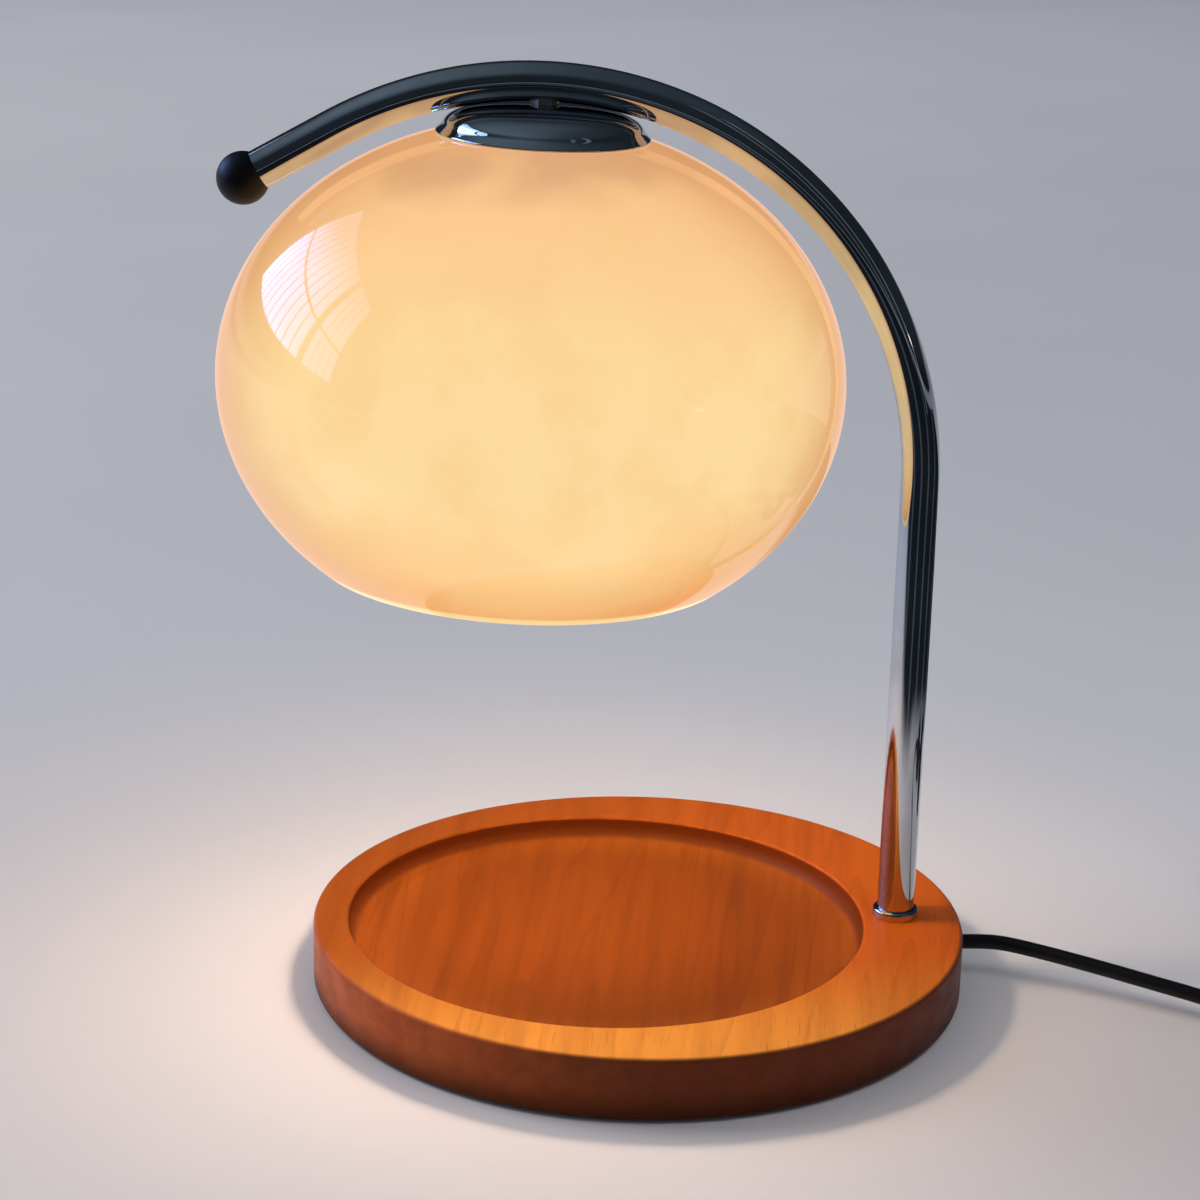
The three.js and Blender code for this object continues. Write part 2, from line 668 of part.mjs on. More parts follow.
// Inner cores: from the lead's end in the well, under the nut, up the post, round the bend and down the stem
function flexPoints() {
  const well = wellDiameter / 2;
  const drop = cordExitHeight - padThickness - flexDiameter;
  const way = flexAcrossShares.map((share, i) => [
    postOffset + share * well, cordExitHeight - flexDownShares[i] * drop,
  ]);
  const inWell = new THREE.CatmullRomCurve3([
    [leadEnd - flexDiameter / 2, cordExitHeight], ...way, [postOffset, shankEnd],
  ].map(([x, z]) => new THREE.Vector3(x, 0, z)), false, 'centripetal').getPoints(flexStepsInWell);
  inWell.unshift(new THREE.Vector3(leadEnd - fit, 0, cordExitHeight));
  const stemAngle = Math.PI / 2 - shadeTilt;
  const lastOnBend = stemAngle - flexBend / bendRadius;
  const onBend = Array.from({ length: flexStepsOnBend + 1 }, (_, i) => (
    armPoint((lastOnBend * i) / flexStepsOnBend)
  ));
  const intoStem = [1, 2, 3, 4].map((k) => {
    const angle = (k * Math.PI) / 8;
    const across = flexBend * (1 - Math.sin(angle));
    return new THREE.Vector3(across, 0, bendRadius - flexBend * (1 - Math.cos(angle)));
  });
  intoStem.push(new THREE.Vector3(0, 0, holderTop + fit));
  return [...inWell, ...onBend, ...intoStem.map((point) => point.applyMatrix4(hanger.matrix))];
}

add(lamp, 'inner_cores', swept(flexPoints(), flexDiameter, coilSides), silicone);

// Mains lead: a free stretch, the dimmer, a short stretch, the put-away coil and the tail with its plug
const mains = new THREE.Group();
mains.position.x = baseRadius;
lamp.add(mains);

function cord(name, route, stepInDiameters) {
  add(mains, name, swept(smooth(route, stepInDiameters), cordDiameter, cordSides), blackRubber);
}

cord('cord_lead', leadRoute, leadStepInDiameters);
cord('cord_supply', supplyRoute, tailStepInDiameters);
cord('cord_tail', tailRoute, tailStepInDiameters);

// The coil winds inwards and outwards in turn, a layer each way, and climbs in the half turn round
// each reversal.
function coilPoints() {
  const [startX, startY, startZ] = supplyRoute.at(-1);
  const pitch = cordDiameter + coilSpacing;
  const turnsPerLayer = coilTurns / coilLayers;
  const outer = coilMeanRadius + (pitch * turnsPerLayer) / 2;
  const centreX = startX - outer;
  const centreY = startY + cordDiameter + fit;
  const steps = coilTurns * stepsPerTurn;
  const turns = Array.from({ length: steps + 1 }, (_, i) => {
    const turn = i / stepsPerTurn;
    const layer = Math.min(Math.floor(turn / turnsPerLayer), coilLayers - 1);
    const inLayer = turn - layer * turnsPerLayer;
    const inwards = layer % 2 === 0 ? inLayer : turnsPerLayer - inLayer;
    const reversal = Math.round(turn / turnsPerLayer);
    const climbing = reversal > 0 && reversal < coilLayers;
    const climb = climbing ? THREE.MathUtils.clamp(2 * (turn - reversal * turnsPerLayer) + 0.5, 0, 1) : 0;
    const lifted = climbing ? reversal - 1 + climb : layer;
    const radius = outer - pitch * inwards;
    return new THREE.Vector3(
      centreX + radius * Math.cos(2 * Math.PI * turn),
      centreY + radius * Math.sin(2 * Math.PI * turn),
      startZ + pitch * lifted,
    );
  });
  const straight = new THREE.Vector3(0, cordDiameter, 0);
  return [turns[0].clone().sub(straight), ...turns, turns[steps].clone().add(straight)];
}

// The least free space between stretches of a tube that are more than half a turn apart.
function leastGap(points, diameter) {
  let least = Infinity;
  for (let i = 0; i < points.length; i += 1) {
    for (let j = i + stepsPerTurn / 2; j < points.length; j += 1) {
      least = Math.min(least, points[i].distanceTo(points[j]) - diameter);
    }
  }
  return least;
}

const coil = coilPoints();
console.log(`coil: least gap to itself ${leastGap(coil, cordDiameter).toFixed(2)} mm`);
add(mains, 'cord_coil', swept(coil, cordDiameter, coilSides), blackRubber);

// A tapered boot on the lead, along +Y, thick end first, with a neck that sits in the housing.
function boot() {
  const [root, tip, neck] = [bootDiameter / 2, bootTipDiameter / 2, bootNeckDiameter / 2];
  return turned([
    [0, -bootNeckLength], [neck, -bootNeckLength], [neck, fit], [root, fit], [tip, bootLength],
    [0, bootLength],
  ], smallSides).rotateX(-Math.PI / 2);
}

// Dimmer: two shells with a board and a potentiometer inside and a fluted dial on top
const dimmer = new THREE.Group();
const [leadX, leadY] = leadRoute.at(-1);
const dimmerMiddle = leadY + fit + bootLength + dimmerLength / 2;
dimmer.position.set(leadX, dimmerMiddle, 0);
mains.add(dimmer);
const portHole = bootNeckDiameter + 2 * fit;

function dimmerShells() {
  const outside = cushioned(stadium(dimmerWidth, dimmerLength), 0, dimmerHeight, dimmerRound);
  const inside = cushioned(
    stadium(dimmerWidth - 2 * dimmerWall, dimmerLength - 2 * dimmerWall),
    dimmerWall, dimmerHeight - dimmerWall, dimmerRound - dimmerWall / 2,
  );
  const ports = rod(portHole, -dimmerLength, dimmerLength, tubeSides).rotateX(Math.PI / 2)
    .translate(0, 0, dimmerSplit);
  const hollow = cut(outside, inside, ports);
  const half = (bottom, top) => new THREE.BoxGeometry(2 * dimmerWidth, 2 * dimmerLength, top - bottom)
    .translate(0, 0, (top + bottom) / 2);
  const lower = common(hollow.clone(), half(-overrun, dimmerSplit));
  const upper = common(hollow.clone(), half(dimmerSplit, dimmerHeight + overrun));
  const bosses = [-1, 1].map((side) => rod(
    dimmerBossDiameter, dimmerSplit, dimmerHeight - dimmerWall + fit, smallSides,
  ).translate(0, side * dimmerScrewSpacing / 2, 0));
  const holes = (bottom, top) => [-1, 1].map((side) => rod(
    dimmerScrewDiameter + 2 * fit, bottom, top, smallSides,
  ).translate(0, side * dimmerScrewSpacing / 2, 0));
  const heads = [-1, 1].map((side) => rod(
    dimmerScrewHead + 2 * fit, -overrun, dimmerScrewHeadHeight, smallSides,
  ).translate(0, side * dimmerScrewSpacing / 2, 0));
  const holeTop = dimmerHeight - 2 * dimmerWall;
  const shaftHole = rod(shaftDiameter + 2 * fit, holeTop, dimmerHeight + overrun, tubeSides);
  return {
    lower: cut(lower, ...holes(-overrun, dimmerSplit), ...heads),
    upper: cut(joined(upper, ...bosses), shaftHole, ...holes(dimmerSplit - overrun, holeTop)),
  };
}

const shells = dimmerShells();
add(dimmer, 'dimmer_lower', shells.lower, blackPlastic);
add(dimmer, 'dimmer_upper', shells.upper, blackPlastic);
const boardTop = dimmerWall + boardThickness;
add(dimmer, 'dimmer_board', new THREE.BoxGeometry(boardWidth, boardLength, boardThickness)
  .translate(0, 0, dimmerWall + boardThickness / 2), boardGreen);
const potTop = boardTop + potHeight;
const pot = rod(potDiameter, boardTop, potTop, turnedSides);
const potBore = rod(shaftDiameter + 2 * fit, boardTop + potFloor, potTop + overrun, tubeSides);
add(dimmer, 'dimmer_pot', cut(pot, potBore), steel);
const dialBottom = dimmerHeight + fit;
const shaftTop = dialBottom + dialSocketDepth - fit;
add(dimmer, 'dial_shaft', rod(shaftDiameter, boardTop + potFloor + fit, shaftTop, tubeSides), steel);

function dimmerDial() {
  const radius = dialDiameter / 2;
  const outline = Array.from({ length: 4 * dialFlutes }, (_, i) => {
    const angle = (2 * Math.PI * i) / (4 * dialFlutes);
    const size = radius - dialFluteDepth * (0.5 + 0.5 * Math.cos(dialFlutes * angle));
    return new THREE.Vector2(size * Math.cos(angle), size * Math.sin(angle));
  });
  const disc = cushioned(new THREE.Shape(outline), dialBottom, dialBottom + dialHeight, dialFluteDepth);
  const socketTop = dialBottom + dialSocketDepth;
  return cut(disc, rod(shaftDiameter + 2 * fit, dialBottom - overrun, socketTop, tubeSides));
}

add(dimmer, 'dimmer_dial', dimmerDial(), blackPlastic);
for (const side of [-1, 1]) {
  const bolt = screw(dimmerScrewDiameter, dimmerScrewHead, dimmerScrewHeadHeight - fit, dimmerScrewLength);
  const name = `dimmer_screw_${side < 0 ? 1 : 2}`;
  add(dimmer, name, bolt.translate(0, side * dimmerScrewSpacing / 2, 0), steel);
}
for (const side of [-1, 1]) {
  const relief = boot();
  if (side < 0) relief.rotateZ(Math.PI);
  const name = side < 0 ? 'dimmer_boot_in' : 'dimmer_boot_out';
  add(dimmer, name, relief.translate(0, side * dimmerLength / 2, dimmerSplit), blackRubber);
}

// Plug: a moulded body with two flat blades and a boot, lying flat with its blades towards +Y
const plug = new THREE.Group();
const [tailX, tailY] = tailRoute.at(-1);
plug.position.set(tailX, tailY + fit + bootLength, 0);
mains.add(plug);

function plugBody() {
  const [front, back] = [plugFrontWidth / 2, plugBackWidth / 2];
  const shoulder = plugLength - plugFrontWidth / 2;
  const outline = new THREE.Shape();
  outline.moveTo(-back, 0);
  outline.lineTo(back, 0);
  outline.bezierCurveTo(back, shoulder / 2, front, shoulder / 2, front, shoulder);
  outline.lineTo(front, plugLength);
  outline.lineTo(-front, plugLength);
  outline.lineTo(-front, shoulder);
  outline.bezierCurveTo(-front, shoulder / 2, -back, shoulder / 2, -back, 0);
  const body = cushioned(outline, 0, plugHeight, plugRound);
  const slots = [-1, 1].map((side) => new THREE.BoxGeometry(
    bladeThickness + 2 * fit, bladeSeat + fit + overrun, bladeWidth + 2 * fit,
  ).translate(side * bladeSpacing / 2, plugLength - (bladeSeat + fit - overrun) / 2, plugHeight / 2));
  const neckHole = rod(portHole, 0, bootNeckLength + fit + overrun, tubeSides)
    .rotateX(-Math.PI / 2).translate(0, -overrun, plugHeight / 2);
  return cut(body, ...slots, neckHole);
}

add(plug, 'plug_body', plugBody(), blackPlastic);
for (const side of [-1, 1]) {
  const blade = new THREE.BoxGeometry(bladeThickness, bladeSeat + bladeLength, bladeWidth);
  const middle = plugLength + (bladeLength - bladeSeat) / 2;
  const name = `plug_blade_${side < 0 ? 1 : 2}`;
  add(plug, name, blade.translate(side * bladeSpacing / 2, middle, plugHeight / 2), brass);
}
add(plug, 'plug_boot', boot().rotateZ(Math.PI).translate(0, 0, plugHeight / 2), blackRubber);

export default lamp;
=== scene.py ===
# %% [markdown]
# # A candle warmer lamp
# The lamp warms a candle from above with the bulb in its shade. It has a round wooden base with a
# shallow recess, a bent chrome tube with a black ball on its end, a flattened globe of amber glass that
# glows, and a black mains lead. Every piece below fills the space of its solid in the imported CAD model,
# in metres and with +Z up, and has more sides and finer edges than the solid.

import json

import bpy
import numpy as np
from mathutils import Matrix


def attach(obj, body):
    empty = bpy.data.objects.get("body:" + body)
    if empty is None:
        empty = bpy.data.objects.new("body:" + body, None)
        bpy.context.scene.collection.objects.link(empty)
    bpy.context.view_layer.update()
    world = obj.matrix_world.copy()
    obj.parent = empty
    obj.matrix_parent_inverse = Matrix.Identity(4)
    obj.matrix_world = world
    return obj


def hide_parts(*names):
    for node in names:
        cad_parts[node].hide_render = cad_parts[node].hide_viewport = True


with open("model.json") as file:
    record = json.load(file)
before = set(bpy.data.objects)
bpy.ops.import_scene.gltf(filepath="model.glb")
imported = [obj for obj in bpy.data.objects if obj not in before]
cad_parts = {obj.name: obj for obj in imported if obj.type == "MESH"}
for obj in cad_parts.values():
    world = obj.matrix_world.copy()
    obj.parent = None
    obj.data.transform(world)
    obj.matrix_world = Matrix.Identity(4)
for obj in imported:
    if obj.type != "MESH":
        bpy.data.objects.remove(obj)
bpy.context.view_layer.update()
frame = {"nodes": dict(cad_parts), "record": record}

# %% [markdown]
# ## Camera
# The camera stands where the photograph's camera stood, about 0.9 m in front of the lamp and looking down
# on it. Its place and aim were fitted to the outlines of base, tube and shade. A lens is given by its
# focal length, which is the picture's focal length in pixels, scaled to the sensor's width.

# %% Camera
MM = 0.001  # lengths in mm become metres
EYE = MM * np.array([-61.1, -861.8, 400.5])
PAN, PITCH, ROLL = -0.0536, 0.306, 0.024
FOCAL_PIXELS, PICTURE_PIXELS, SENSOR = 2885.3, 1200, 36.0


def in_scene(name, data):
    """A new object with its data, linked to the scene."""
    made = bpy.data.objects.new(name, data)
    bpy.context.scene.collection.objects.link(made)
    return made


def set_pose(made, right, up, back, at):
    """Turns an object's own axes to right, up and back, and moves it to a point."""
    pose = np.eye(4)
    pose[:, :3] = right, up, back, at
    made.matrix_world = pose.tolist()


def camera_axes(pan, pitch, roll):
    """Right, up and forward of a camera that is panned to the left, pitched down and rolled by angles."""
    forward = np.array([-np.sin(pan) * np.cos(pitch), np.cos(pan) * np.cos(pitch), -np.sin(pitch)])
    right = np.array([np.cos(pan), np.sin(pan), 0])
    up = np.cross(right, forward)
    turn = np.array([[np.cos(roll), np.sin(roll)], [-np.sin(roll), np.cos(roll)]])
    return (*(turn @ np.array([right, up])), forward)


camera_data = bpy.data.cameras.new("camera")
camera_data.sensor_width = SENSOR
camera_data.lens = SENSOR * FOCAL_PIXELS / PICTURE_PIXELS
camera = in_scene("camera", camera_data)
right, up, forward = camera_axes(PAN, PITCH, ROLL)
set_pose(camera, right, up, -forward, EYE)
bpy.context.scene.camera = camera
print("lens %.1f mm" % camera_data.lens)

# %% [markdown]
# ## From a grid of points to a mesh
# Every new piece is a surface of two parameters, worked out as one array of points in rows and columns.
# The columns go round the piece. The rows either go round as well, as in a ring, or they end in two
# closed tips.


# %% Meshes from grids
def faces_of(rows, columns, ring):
    """Quads between each row and the next, and between each column and the next, all the way round."""
    r = np.arange(rows if ring else rows - 1)[:, None]
    c = np.arange(columns)[None, :]
    below, beside = (r + 1) % rows * columns, (c + 1) % columns
    return np.stack([r * columns + c, r * columns + beside, below + beside, below + c], -1).reshape(-1, 4)


def add_piece(name, grid, slot, body="lamp", stands_for=(), ring=False, sharp=40):
    """Makes a closed mesh from a grid. Without ring, the first and last row are closed by their middles.
    Edges that bend by more than sharp, in degrees, are shaded as edges."""
    rows, columns, _ = grid.shape
    points, quads = grid.reshape(-1, 3), faces_of(rows, columns, ring)
    faces = quads.tolist()
    if not ring:
        points = np.vstack([points, grid[0].mean(0), grid[-1].mean(0)])
        here = np.arange(columns)
        there = (here + 1) % columns
        last = (rows - 1) * columns
        first_tip, last_tip = rows * columns, rows * columns + 1
        faces += np.stack([there, here, np.full(columns, first_tip)], 1).tolist()
        faces += np.stack([last + here, last + there, np.full(columns, last_tip)], 1).tolist()
    if enclosed(points, faces) < 0:
        faces = [face[::-1] for face in faces]
    mesh = bpy.data.meshes.new(name)
    mesh.from_pydata(points.tolist(), [], faces)
    mesh.shade_smooth()
    mesh.set_sharp_from_angle(angle=np.radians(sharp))
    mesh.materials.append(FINISHES[slot])
    made = in_scene(name, mesh)
    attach(made, body)
    if stands_for:
        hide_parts(*stands_for)
    low, high = points.min(0), points.max(0)
    print(name, len(faces), "faces, mm", *(np.round(1000 * (high - low), 1)))
    return made


def enclosed(points, faces):
    """Six times the volume inside the faces, which is below zero where they point inwards."""
    corners = np.array([[f[0], f[k], f[k + 1]] for f in faces for k in range(1, len(f) - 1)])
    a, b, c = (points[corners[:, k]] for k in range(3))
    return np.einsum("ij,ij->", a, np.cross(b, c))


# %% [markdown]
# ## A section carried along a path
# Tubes and leads are a circle that is carried along a curve, so that each row of the grid is one circle
# across the curve. The path itself is a smooth curve through a few chosen points, as a lead lies in long
# easy bends, and its pieces are cubic curves that share their slope where they meet.


# %% Paths and tubes
def unit(vectors):
    """Each vector divided by its own length."""
    return vectors / np.linalg.norm(vectors, axis=-1, keepdims=True)


def all_round(sides):
    """Equal angles, once round."""
    return 2 * np.pi * np.arange(sides) / sides


def smooth_path(points, steps=12):
    """A Catmull-Rom curve through the points, each span timed by the square root of its length."""
    p = np.asarray(points, float)
    p = np.vstack([2 * p[0] - p[1], p, 2 * p[-1] - p[-2]])
    span = np.sqrt(np.linalg.norm(np.diff(p, axis=0), axis=1))[:, None]
    before, here, after = span[:-2], span[1:-1], span[2:]
    p0, p1, p2, p3 = p[:-3], p[1:-2], p[2:-1], p[3:]
    slope1 = here * ((p1 - p0) / before - (p2 - p0) / (before + here) + (p2 - p1) / here)
    slope2 = here * ((p2 - p1) / here - (p3 - p1) / (here + after) + (p3 - p2) / after)
    t = (np.arange(steps) / steps)[:, None, None]
    curve = (p1 + slope1 * t + (3 * (p2 - p1) - 2 * slope1 - slope2) * t**2
             + (2 * (p1 - p2) + slope1 + slope2) * t**3)
    return np.vstack([curve.transpose(1, 0, 2).reshape(-1, 3), p[-2]])


def eased(path, passes):
    """Each pass moves every inner point halfway to the middle of its two neighbours. The ends stay."""
    path = path.copy()
    for _ in range(passes):
        path[1:-1] += 0.5 * ((path[:-2] + path[2:]) / 2 - path[1:-1])
    return path


def length_of(path):
    """The sum of the distances from each point to the next."""
    return np.linalg.norm(np.diff(path, axis=0), axis=1).sum()


def tube(path, radius, sides, reference=(0, 0, 1)):
    """A circle carried along the path: path + radius * (side * cos a + other * sin a), where side and
    other are both square to the path, and side is square to the reference as well."""
    tangent = np.gradient(path, axis=0)
    side = unit(np.cross(tangent, reference))
    other = unit(np.cross(side, tangent))
    a = all_round(sides)
    around = side[:, None] * np.cos(a)[:, None] + other[:, None] * np.sin(a)[:, None]
    return path[:, None] + radius * around


# %% [markdown]
# ## Finishes: the tools
# A finish is a small network of nodes. One helper adds a node and fills its sockets, and another makes a
# material with its shader, whose plain numbers are set on its own sockets, and keeps it under the name of
# its slot. Colours are written as the screen shows them, from 0 to 255, and turned into light values here.


# %% Helpers for finishes
def colour(red, green, blue):
    """A colour from 0 to 255 as linear values: below 0.04 by a twelfth, above it by a power."""
    c = np.array([red, green, blue]) / 255
    return (*np.where(c <= 0.04045, c / 12.92, ((c + 0.055) / 1.055) ** 2.4), 1)


def node(tree, kind, inputs=(), **settings):
    """A node with its settings and inputs, each input a value or another node's output."""
    made = tree.nodes.new(kind)
    for key, value in settings.items():
        setattr(made, key, value)
    for key, value in dict(inputs).items():
        if isinstance(value, bpy.types.NodeSocket):
            tree.links.new(value, made.inputs[key])
        else:
            made.inputs[key].default_value = value
    return made


FINISHES = {}


def finish(name, **plain):
    """Makes a material, and gives its node tree and its Principled shader with plain values."""
    FINISHES[name] = bpy.data.materials.new(name)
    FINISHES[name].use_nodes = True
    tree = FINISHES[name].node_tree
    shader = tree.nodes["Principled BSDF"]
    for key, value in plain.items():
        shader.inputs[key.replace("_", " ")].default_value = value
    return tree, shader


def feed(shader, name, value):
    """Links another node's output to one of the shader's inputs."""
    shader.id_data.links.new(value, shader.inputs[name])


# %% [markdown]
# Patterns are worked out from where each point of the piece lies: noise that is stretched and turned,
# shares that rise from one distance to another, and colours blended by such shares.


# %% Helpers for patterns
def where_on_piece(tree):
    """Each point of the piece in metres, whole and as its X, Y and Z."""
    point = node(tree, "ShaderNodeTexCoord").outputs["Object"]
    return point, node(tree, "ShaderNodeSeparateXYZ", {0: point}).outputs


def place(tree, scale=(1, 1, 1), turn=(0, 0, 0)):
    """Points of the piece in metres, turned and then stretched."""
    point = node(tree, "ShaderNodeTexCoord").outputs["Object"]
    turned_to = node(tree, "ShaderNodeMapping", {"Vector": point, "Rotation": turn}).outputs[0]
    return node(tree, "ShaderNodeMapping", {"Vector": turned_to, "Scale": scale}).outputs[0]


def noise(vector, scale=1.0, detail=3.0, roughness=0.5, distortion=0.0):
    """Soft cloudy noise from about 0.25 to 0.75."""
    return node(vector.id_data, "ShaderNodeTexNoise", {
        "Vector": vector, "Scale": scale, "Detail": detail, "Roughness": roughness,
        "Distortion": distortion}).outputs["Fac"]


def reckon(operation, *values):
    """The result of one step of arithmetic on up to three values, the first from another node."""
    made = node(values[0].id_data, "ShaderNodeMath", dict(enumerate(values)), operation=operation)
    return made.outputs[0]


def measure(operation, *vectors):
    """A number worked out from vectors, such as a length, a distance or a dot product."""
    made = node(vectors[0].id_data, "ShaderNodeVectorMath", dict(enumerate(vectors)), operation=operation)
    return made.outputs["Value"]


def spread(value, low, high, to_low=0.0, to_high=1.0):
    """Stretches a value's range from low..high to to_low..to_high, and holds it there."""
    return node(value.id_data, "ShaderNodeMapRange", {
        "Value": value, "From Min": low, "From Max": high, "To Min": to_low, "To Max": to_high,
    }, interpolation_type="SMOOTHSTEP").outputs[0]


def blended(share, first, second):
    """The first colour mixed with the second by a share. Sockets 6 and 7 are the colours, 2 the result."""
    mixed = node(share.id_data, "ShaderNodeMix", {0: share, 6: first, 7: second}, data_type="RGBA")
    return mixed.outputs[2]


# %% [markdown]
# ## Shared effects
# Two effects come back on many pieces. Handled surfaces are never evenly shiny, so one group gives a
# mottled roughness. Moulded and cast surfaces have a fine skin, so the other gives a bumped normal. Each
# is a group with named inputs, built once, and every material sets its own values. A plain finish, of one
# tint, uses both.


# %% Groups for mottle and skin
def new_group(name, inputs, output, kind):
    """An empty node group with float inputs and one output."""
    group = bpy.data.node_groups.new(name, "ShaderNodeTree")
    for label, value in inputs.items():
        socket = group.interface.new_socket(label, in_out="INPUT", socket_type="NodeSocketFloat")
        socket.default_value = value
    group.interface.new_socket(output, in_out="OUTPUT", socket_type=kind)
    return group, group.nodes.new("NodeGroupInput").outputs, group.nodes.new("NodeGroupOutput").inputs


mottle, given, result = new_group(
    "mottle", {"Scale": 40, "Low": 0.2, "High": 0.3}, "Value", "NodeSocketFloat")
coarse = noise(place(mottle), 1.0, 4, 0.6)
mottle.links.new(given["Scale"], coarse.node.inputs["Scale"])
ranged = node(mottle, "ShaderNodeMapRange", {
    "Value": coarse, "From Min": 0.3, "From Max": 0.7, "To Min": given["Low"], "To Max": given["High"]})
mottle.links.new(ranged.outputs[0], result["Value"])

skin, given, result = new_group(
    "moulded_skin", {"Scale": 1500, "Depth": 0.00002}, "Normal", "NodeSocketVector")
grain = noise(place(skin), 1.0, 2, 0.5)
skin.links.new(given["Scale"], grain.node.inputs["Scale"])
bump = node(skin, "ShaderNodeBump", {"Height": grain, "Distance": given["Depth"], "Strength": 1.0})
skin.links.new(bump.outputs[0], result["Normal"])
print("groups:", mottle.name, "and", skin.name)


# %% A plain finish
DARKER = 0.8  # a tint's dark clouds, as a share of the tint


def use(tree, group, **values):
    """Places a group in a material with its values, and gives its only output."""
    return node(tree, "ShaderNodeGroup", values, node_tree=group).outputs[0]


def plain_finish(name, tint, rough, mottle_scale, skin_scale=0, skin_depth=0.0, **plain):
    """Makes a finish of one tint, slightly uneven, with mottled roughness and, if wanted, a skin."""
    tree, shader = finish(name, **plain)
    clouds = spread(noise(place(tree), mottle_scale, 3), 0.35, 0.65)
    darker = (*(DARKER * v for v in tint[:3]), 1)
    feed(shader, "Base Color", blended(clouds, darker, tint))
    feed(shader, "Roughness", use(tree, mottle, Scale=mottle_scale, Low=rough[0], High=rough[1]))
    if skin_scale:
        feed(shader, "Normal", use(tree, skin, Scale=skin_scale, Depth=skin_depth))
    print(name, "finish:", len(tree.nodes), "nodes")


# %% [markdown]
# ## The lead
# A table lamp has about 1.8 m of round lead, 4.8 mm thick. It leaves the base's side under the post,
# sinks to the table and runs out of the picture. The photograph shows only its first stretch. Beyond the
# view lie an in-line dimmer, the spare length as a neat coil, and the plug. A lead is a tube on a smooth
# path through the points of the CAD route, and the first stretch is eased by less than a millimetre.

# %% Routes of the lead
CORD_RADIUS = 2.4 * MM
LEAD_ROUTE = MM * np.array([
    [94.8, 0, 11.4], [105, 0, 11.4], [112, 0, 11.4], [119.2, -0.4, 11.2], [129.5, -5, 10.6],
    [140.3, -10.7, 9.9], [153.5, -18.3, 9], [166.8, -26.2, 8], [178, -32.8, 7.2], [190, -40.2, 5.7],
    [202, -48.4, 4], [212.6, -58.4, 2.7], [219.6, -71, 2.4], [222.4, -85, 2.4], [226.4, -99.9, 2.4],
    [237.3, -110.8, 2.4], [252.2, -114.8, 2.4], [267.1, -110.8, 2.6], [278, -99.9, 3.4], [282, -85, 5],
    [282, -76, 6.2], [282, -70, 6.5], [282, -60, 6.5],
])
SUPPLY_ROUTE = MM * np.array([
    [282, 18, 6.5], [282, 34.6, 6.5], [282, 39, 6.2], [282, 45, 4.6], [282, 51, 3], [282, 56, 2.4],
    [282, 60, 2.4],
])
TAIL_ROUTE = MM * np.array([
    [282, 70.2, 18.6], [282, 75, 18.4], [282, 82, 16.2], [282, 90, 11.6], [282, 97, 7.8],
    [282, 102, 6.6], [282, 106, 6.5], [282, 112, 6.5],
])
EASING_PASSES = 30

# %% [markdown]
# The spare length is wound in four flat layers of two turns each, a little more than the lead's
# thickness apart.

# %% Coil
COIL_TURNS, COIL_LAYERS, COIL_STEPS = 8, 4, 48
COIL_MIDDLE, COIL_PITCH = 28 * MM, 5.4 * MM
COIL_AHEAD = 5.1 * MM  # from the supply route's end to the coil's middle, along Y


def coil_path():
    """A flat spiral that winds in and out by turns, and climbs a layer in the half turn at each reversal.
    Radius = outer - pitch * turns from the layer's outer end, height = pitch * layer."""
    turn = np.arange(COIL_TURNS * COIL_STEPS + 1) / COIL_STEPS
    per_layer = COIL_TURNS / COIL_LAYERS
    outer = COIL_MIDDLE + COIL_PITCH * per_layer / 2
    layer = np.minimum(np.floor(turn / per_layer), COIL_LAYERS - 1)
    in_layer = turn - layer * per_layer
    inwards = np.where(layer % 2 == 0, in_layer, per_layer - in_layer)
    reversal = np.round(turn / per_layer)
    climbing = (reversal > 0) & (reversal < COIL_LAYERS)
    climb = np.clip(2 * (turn - reversal * per_layer) + 0.5, 0, 1)
    lifted = np.where(climbing, reversal - 1 + climb, layer)
    radius, angle = outer - COIL_PITCH * inwards, 2 * np.pi * turn
    return SUPPLY_ROUTE[-1] + np.stack([
        radius * np.cos(angle) - outer, radius * np.sin(angle) + COIL_AHEAD, COIL_PITCH * lifted], 1)


lead_path = eased(smooth_path(LEAD_ROUTE, 10), EASING_PASSES)
supply_path = np.vstack([smooth_path(SUPPLY_ROUTE, 8), coil_path(), smooth_path(TAIL_ROUTE, 8)])
print("lead %.3f m, rest with its coil %.3f m" % (length_of(lead_path), length_of(supply_path)))

# %% [markdown]
# The jacket is matt black rubber with a faint moulded skin. The first tube runs from inside the bushing
# to the dimmer, and the second from there through the coil to the plug.

# %% Jacket and tubes
plain_finish("cord_jacket", colour(14, 14, 15), (0.42, 0.55), 60, 2600, 0.00002, Specular_IOR_Level=0.3)
lead = add_piece("lead", tube(lead_path, CORD_RADIUS, 24), "cord_jacket",
                 stands_for=("cord_lead", "lead_tail"))
supply = add_piece("supply_coil_and_tail", tube(supply_path, CORD_RADIUS, 16), "cord_jacket",
                   stands_for=("cord_supply", "cord_coil", "cord_tail"))

# %% [markdown]
# ## Turned outlines
# Base, collar, ball, dome, shade and dial are turned or blown about an axis, so each is an outline of
# radius and height that goes round. Real edges are never quite sharp, so one helper rounds the corners
# of an outline, and adds a guard point beside each arc that keeps the flats shaded flat. An outline that
# closes on itself goes without its last point, which repeats the first.

# %% Outlines and turning
GUARD = 0.2  # how far a guard point lies beyond its arc, as a share of the arc's radius


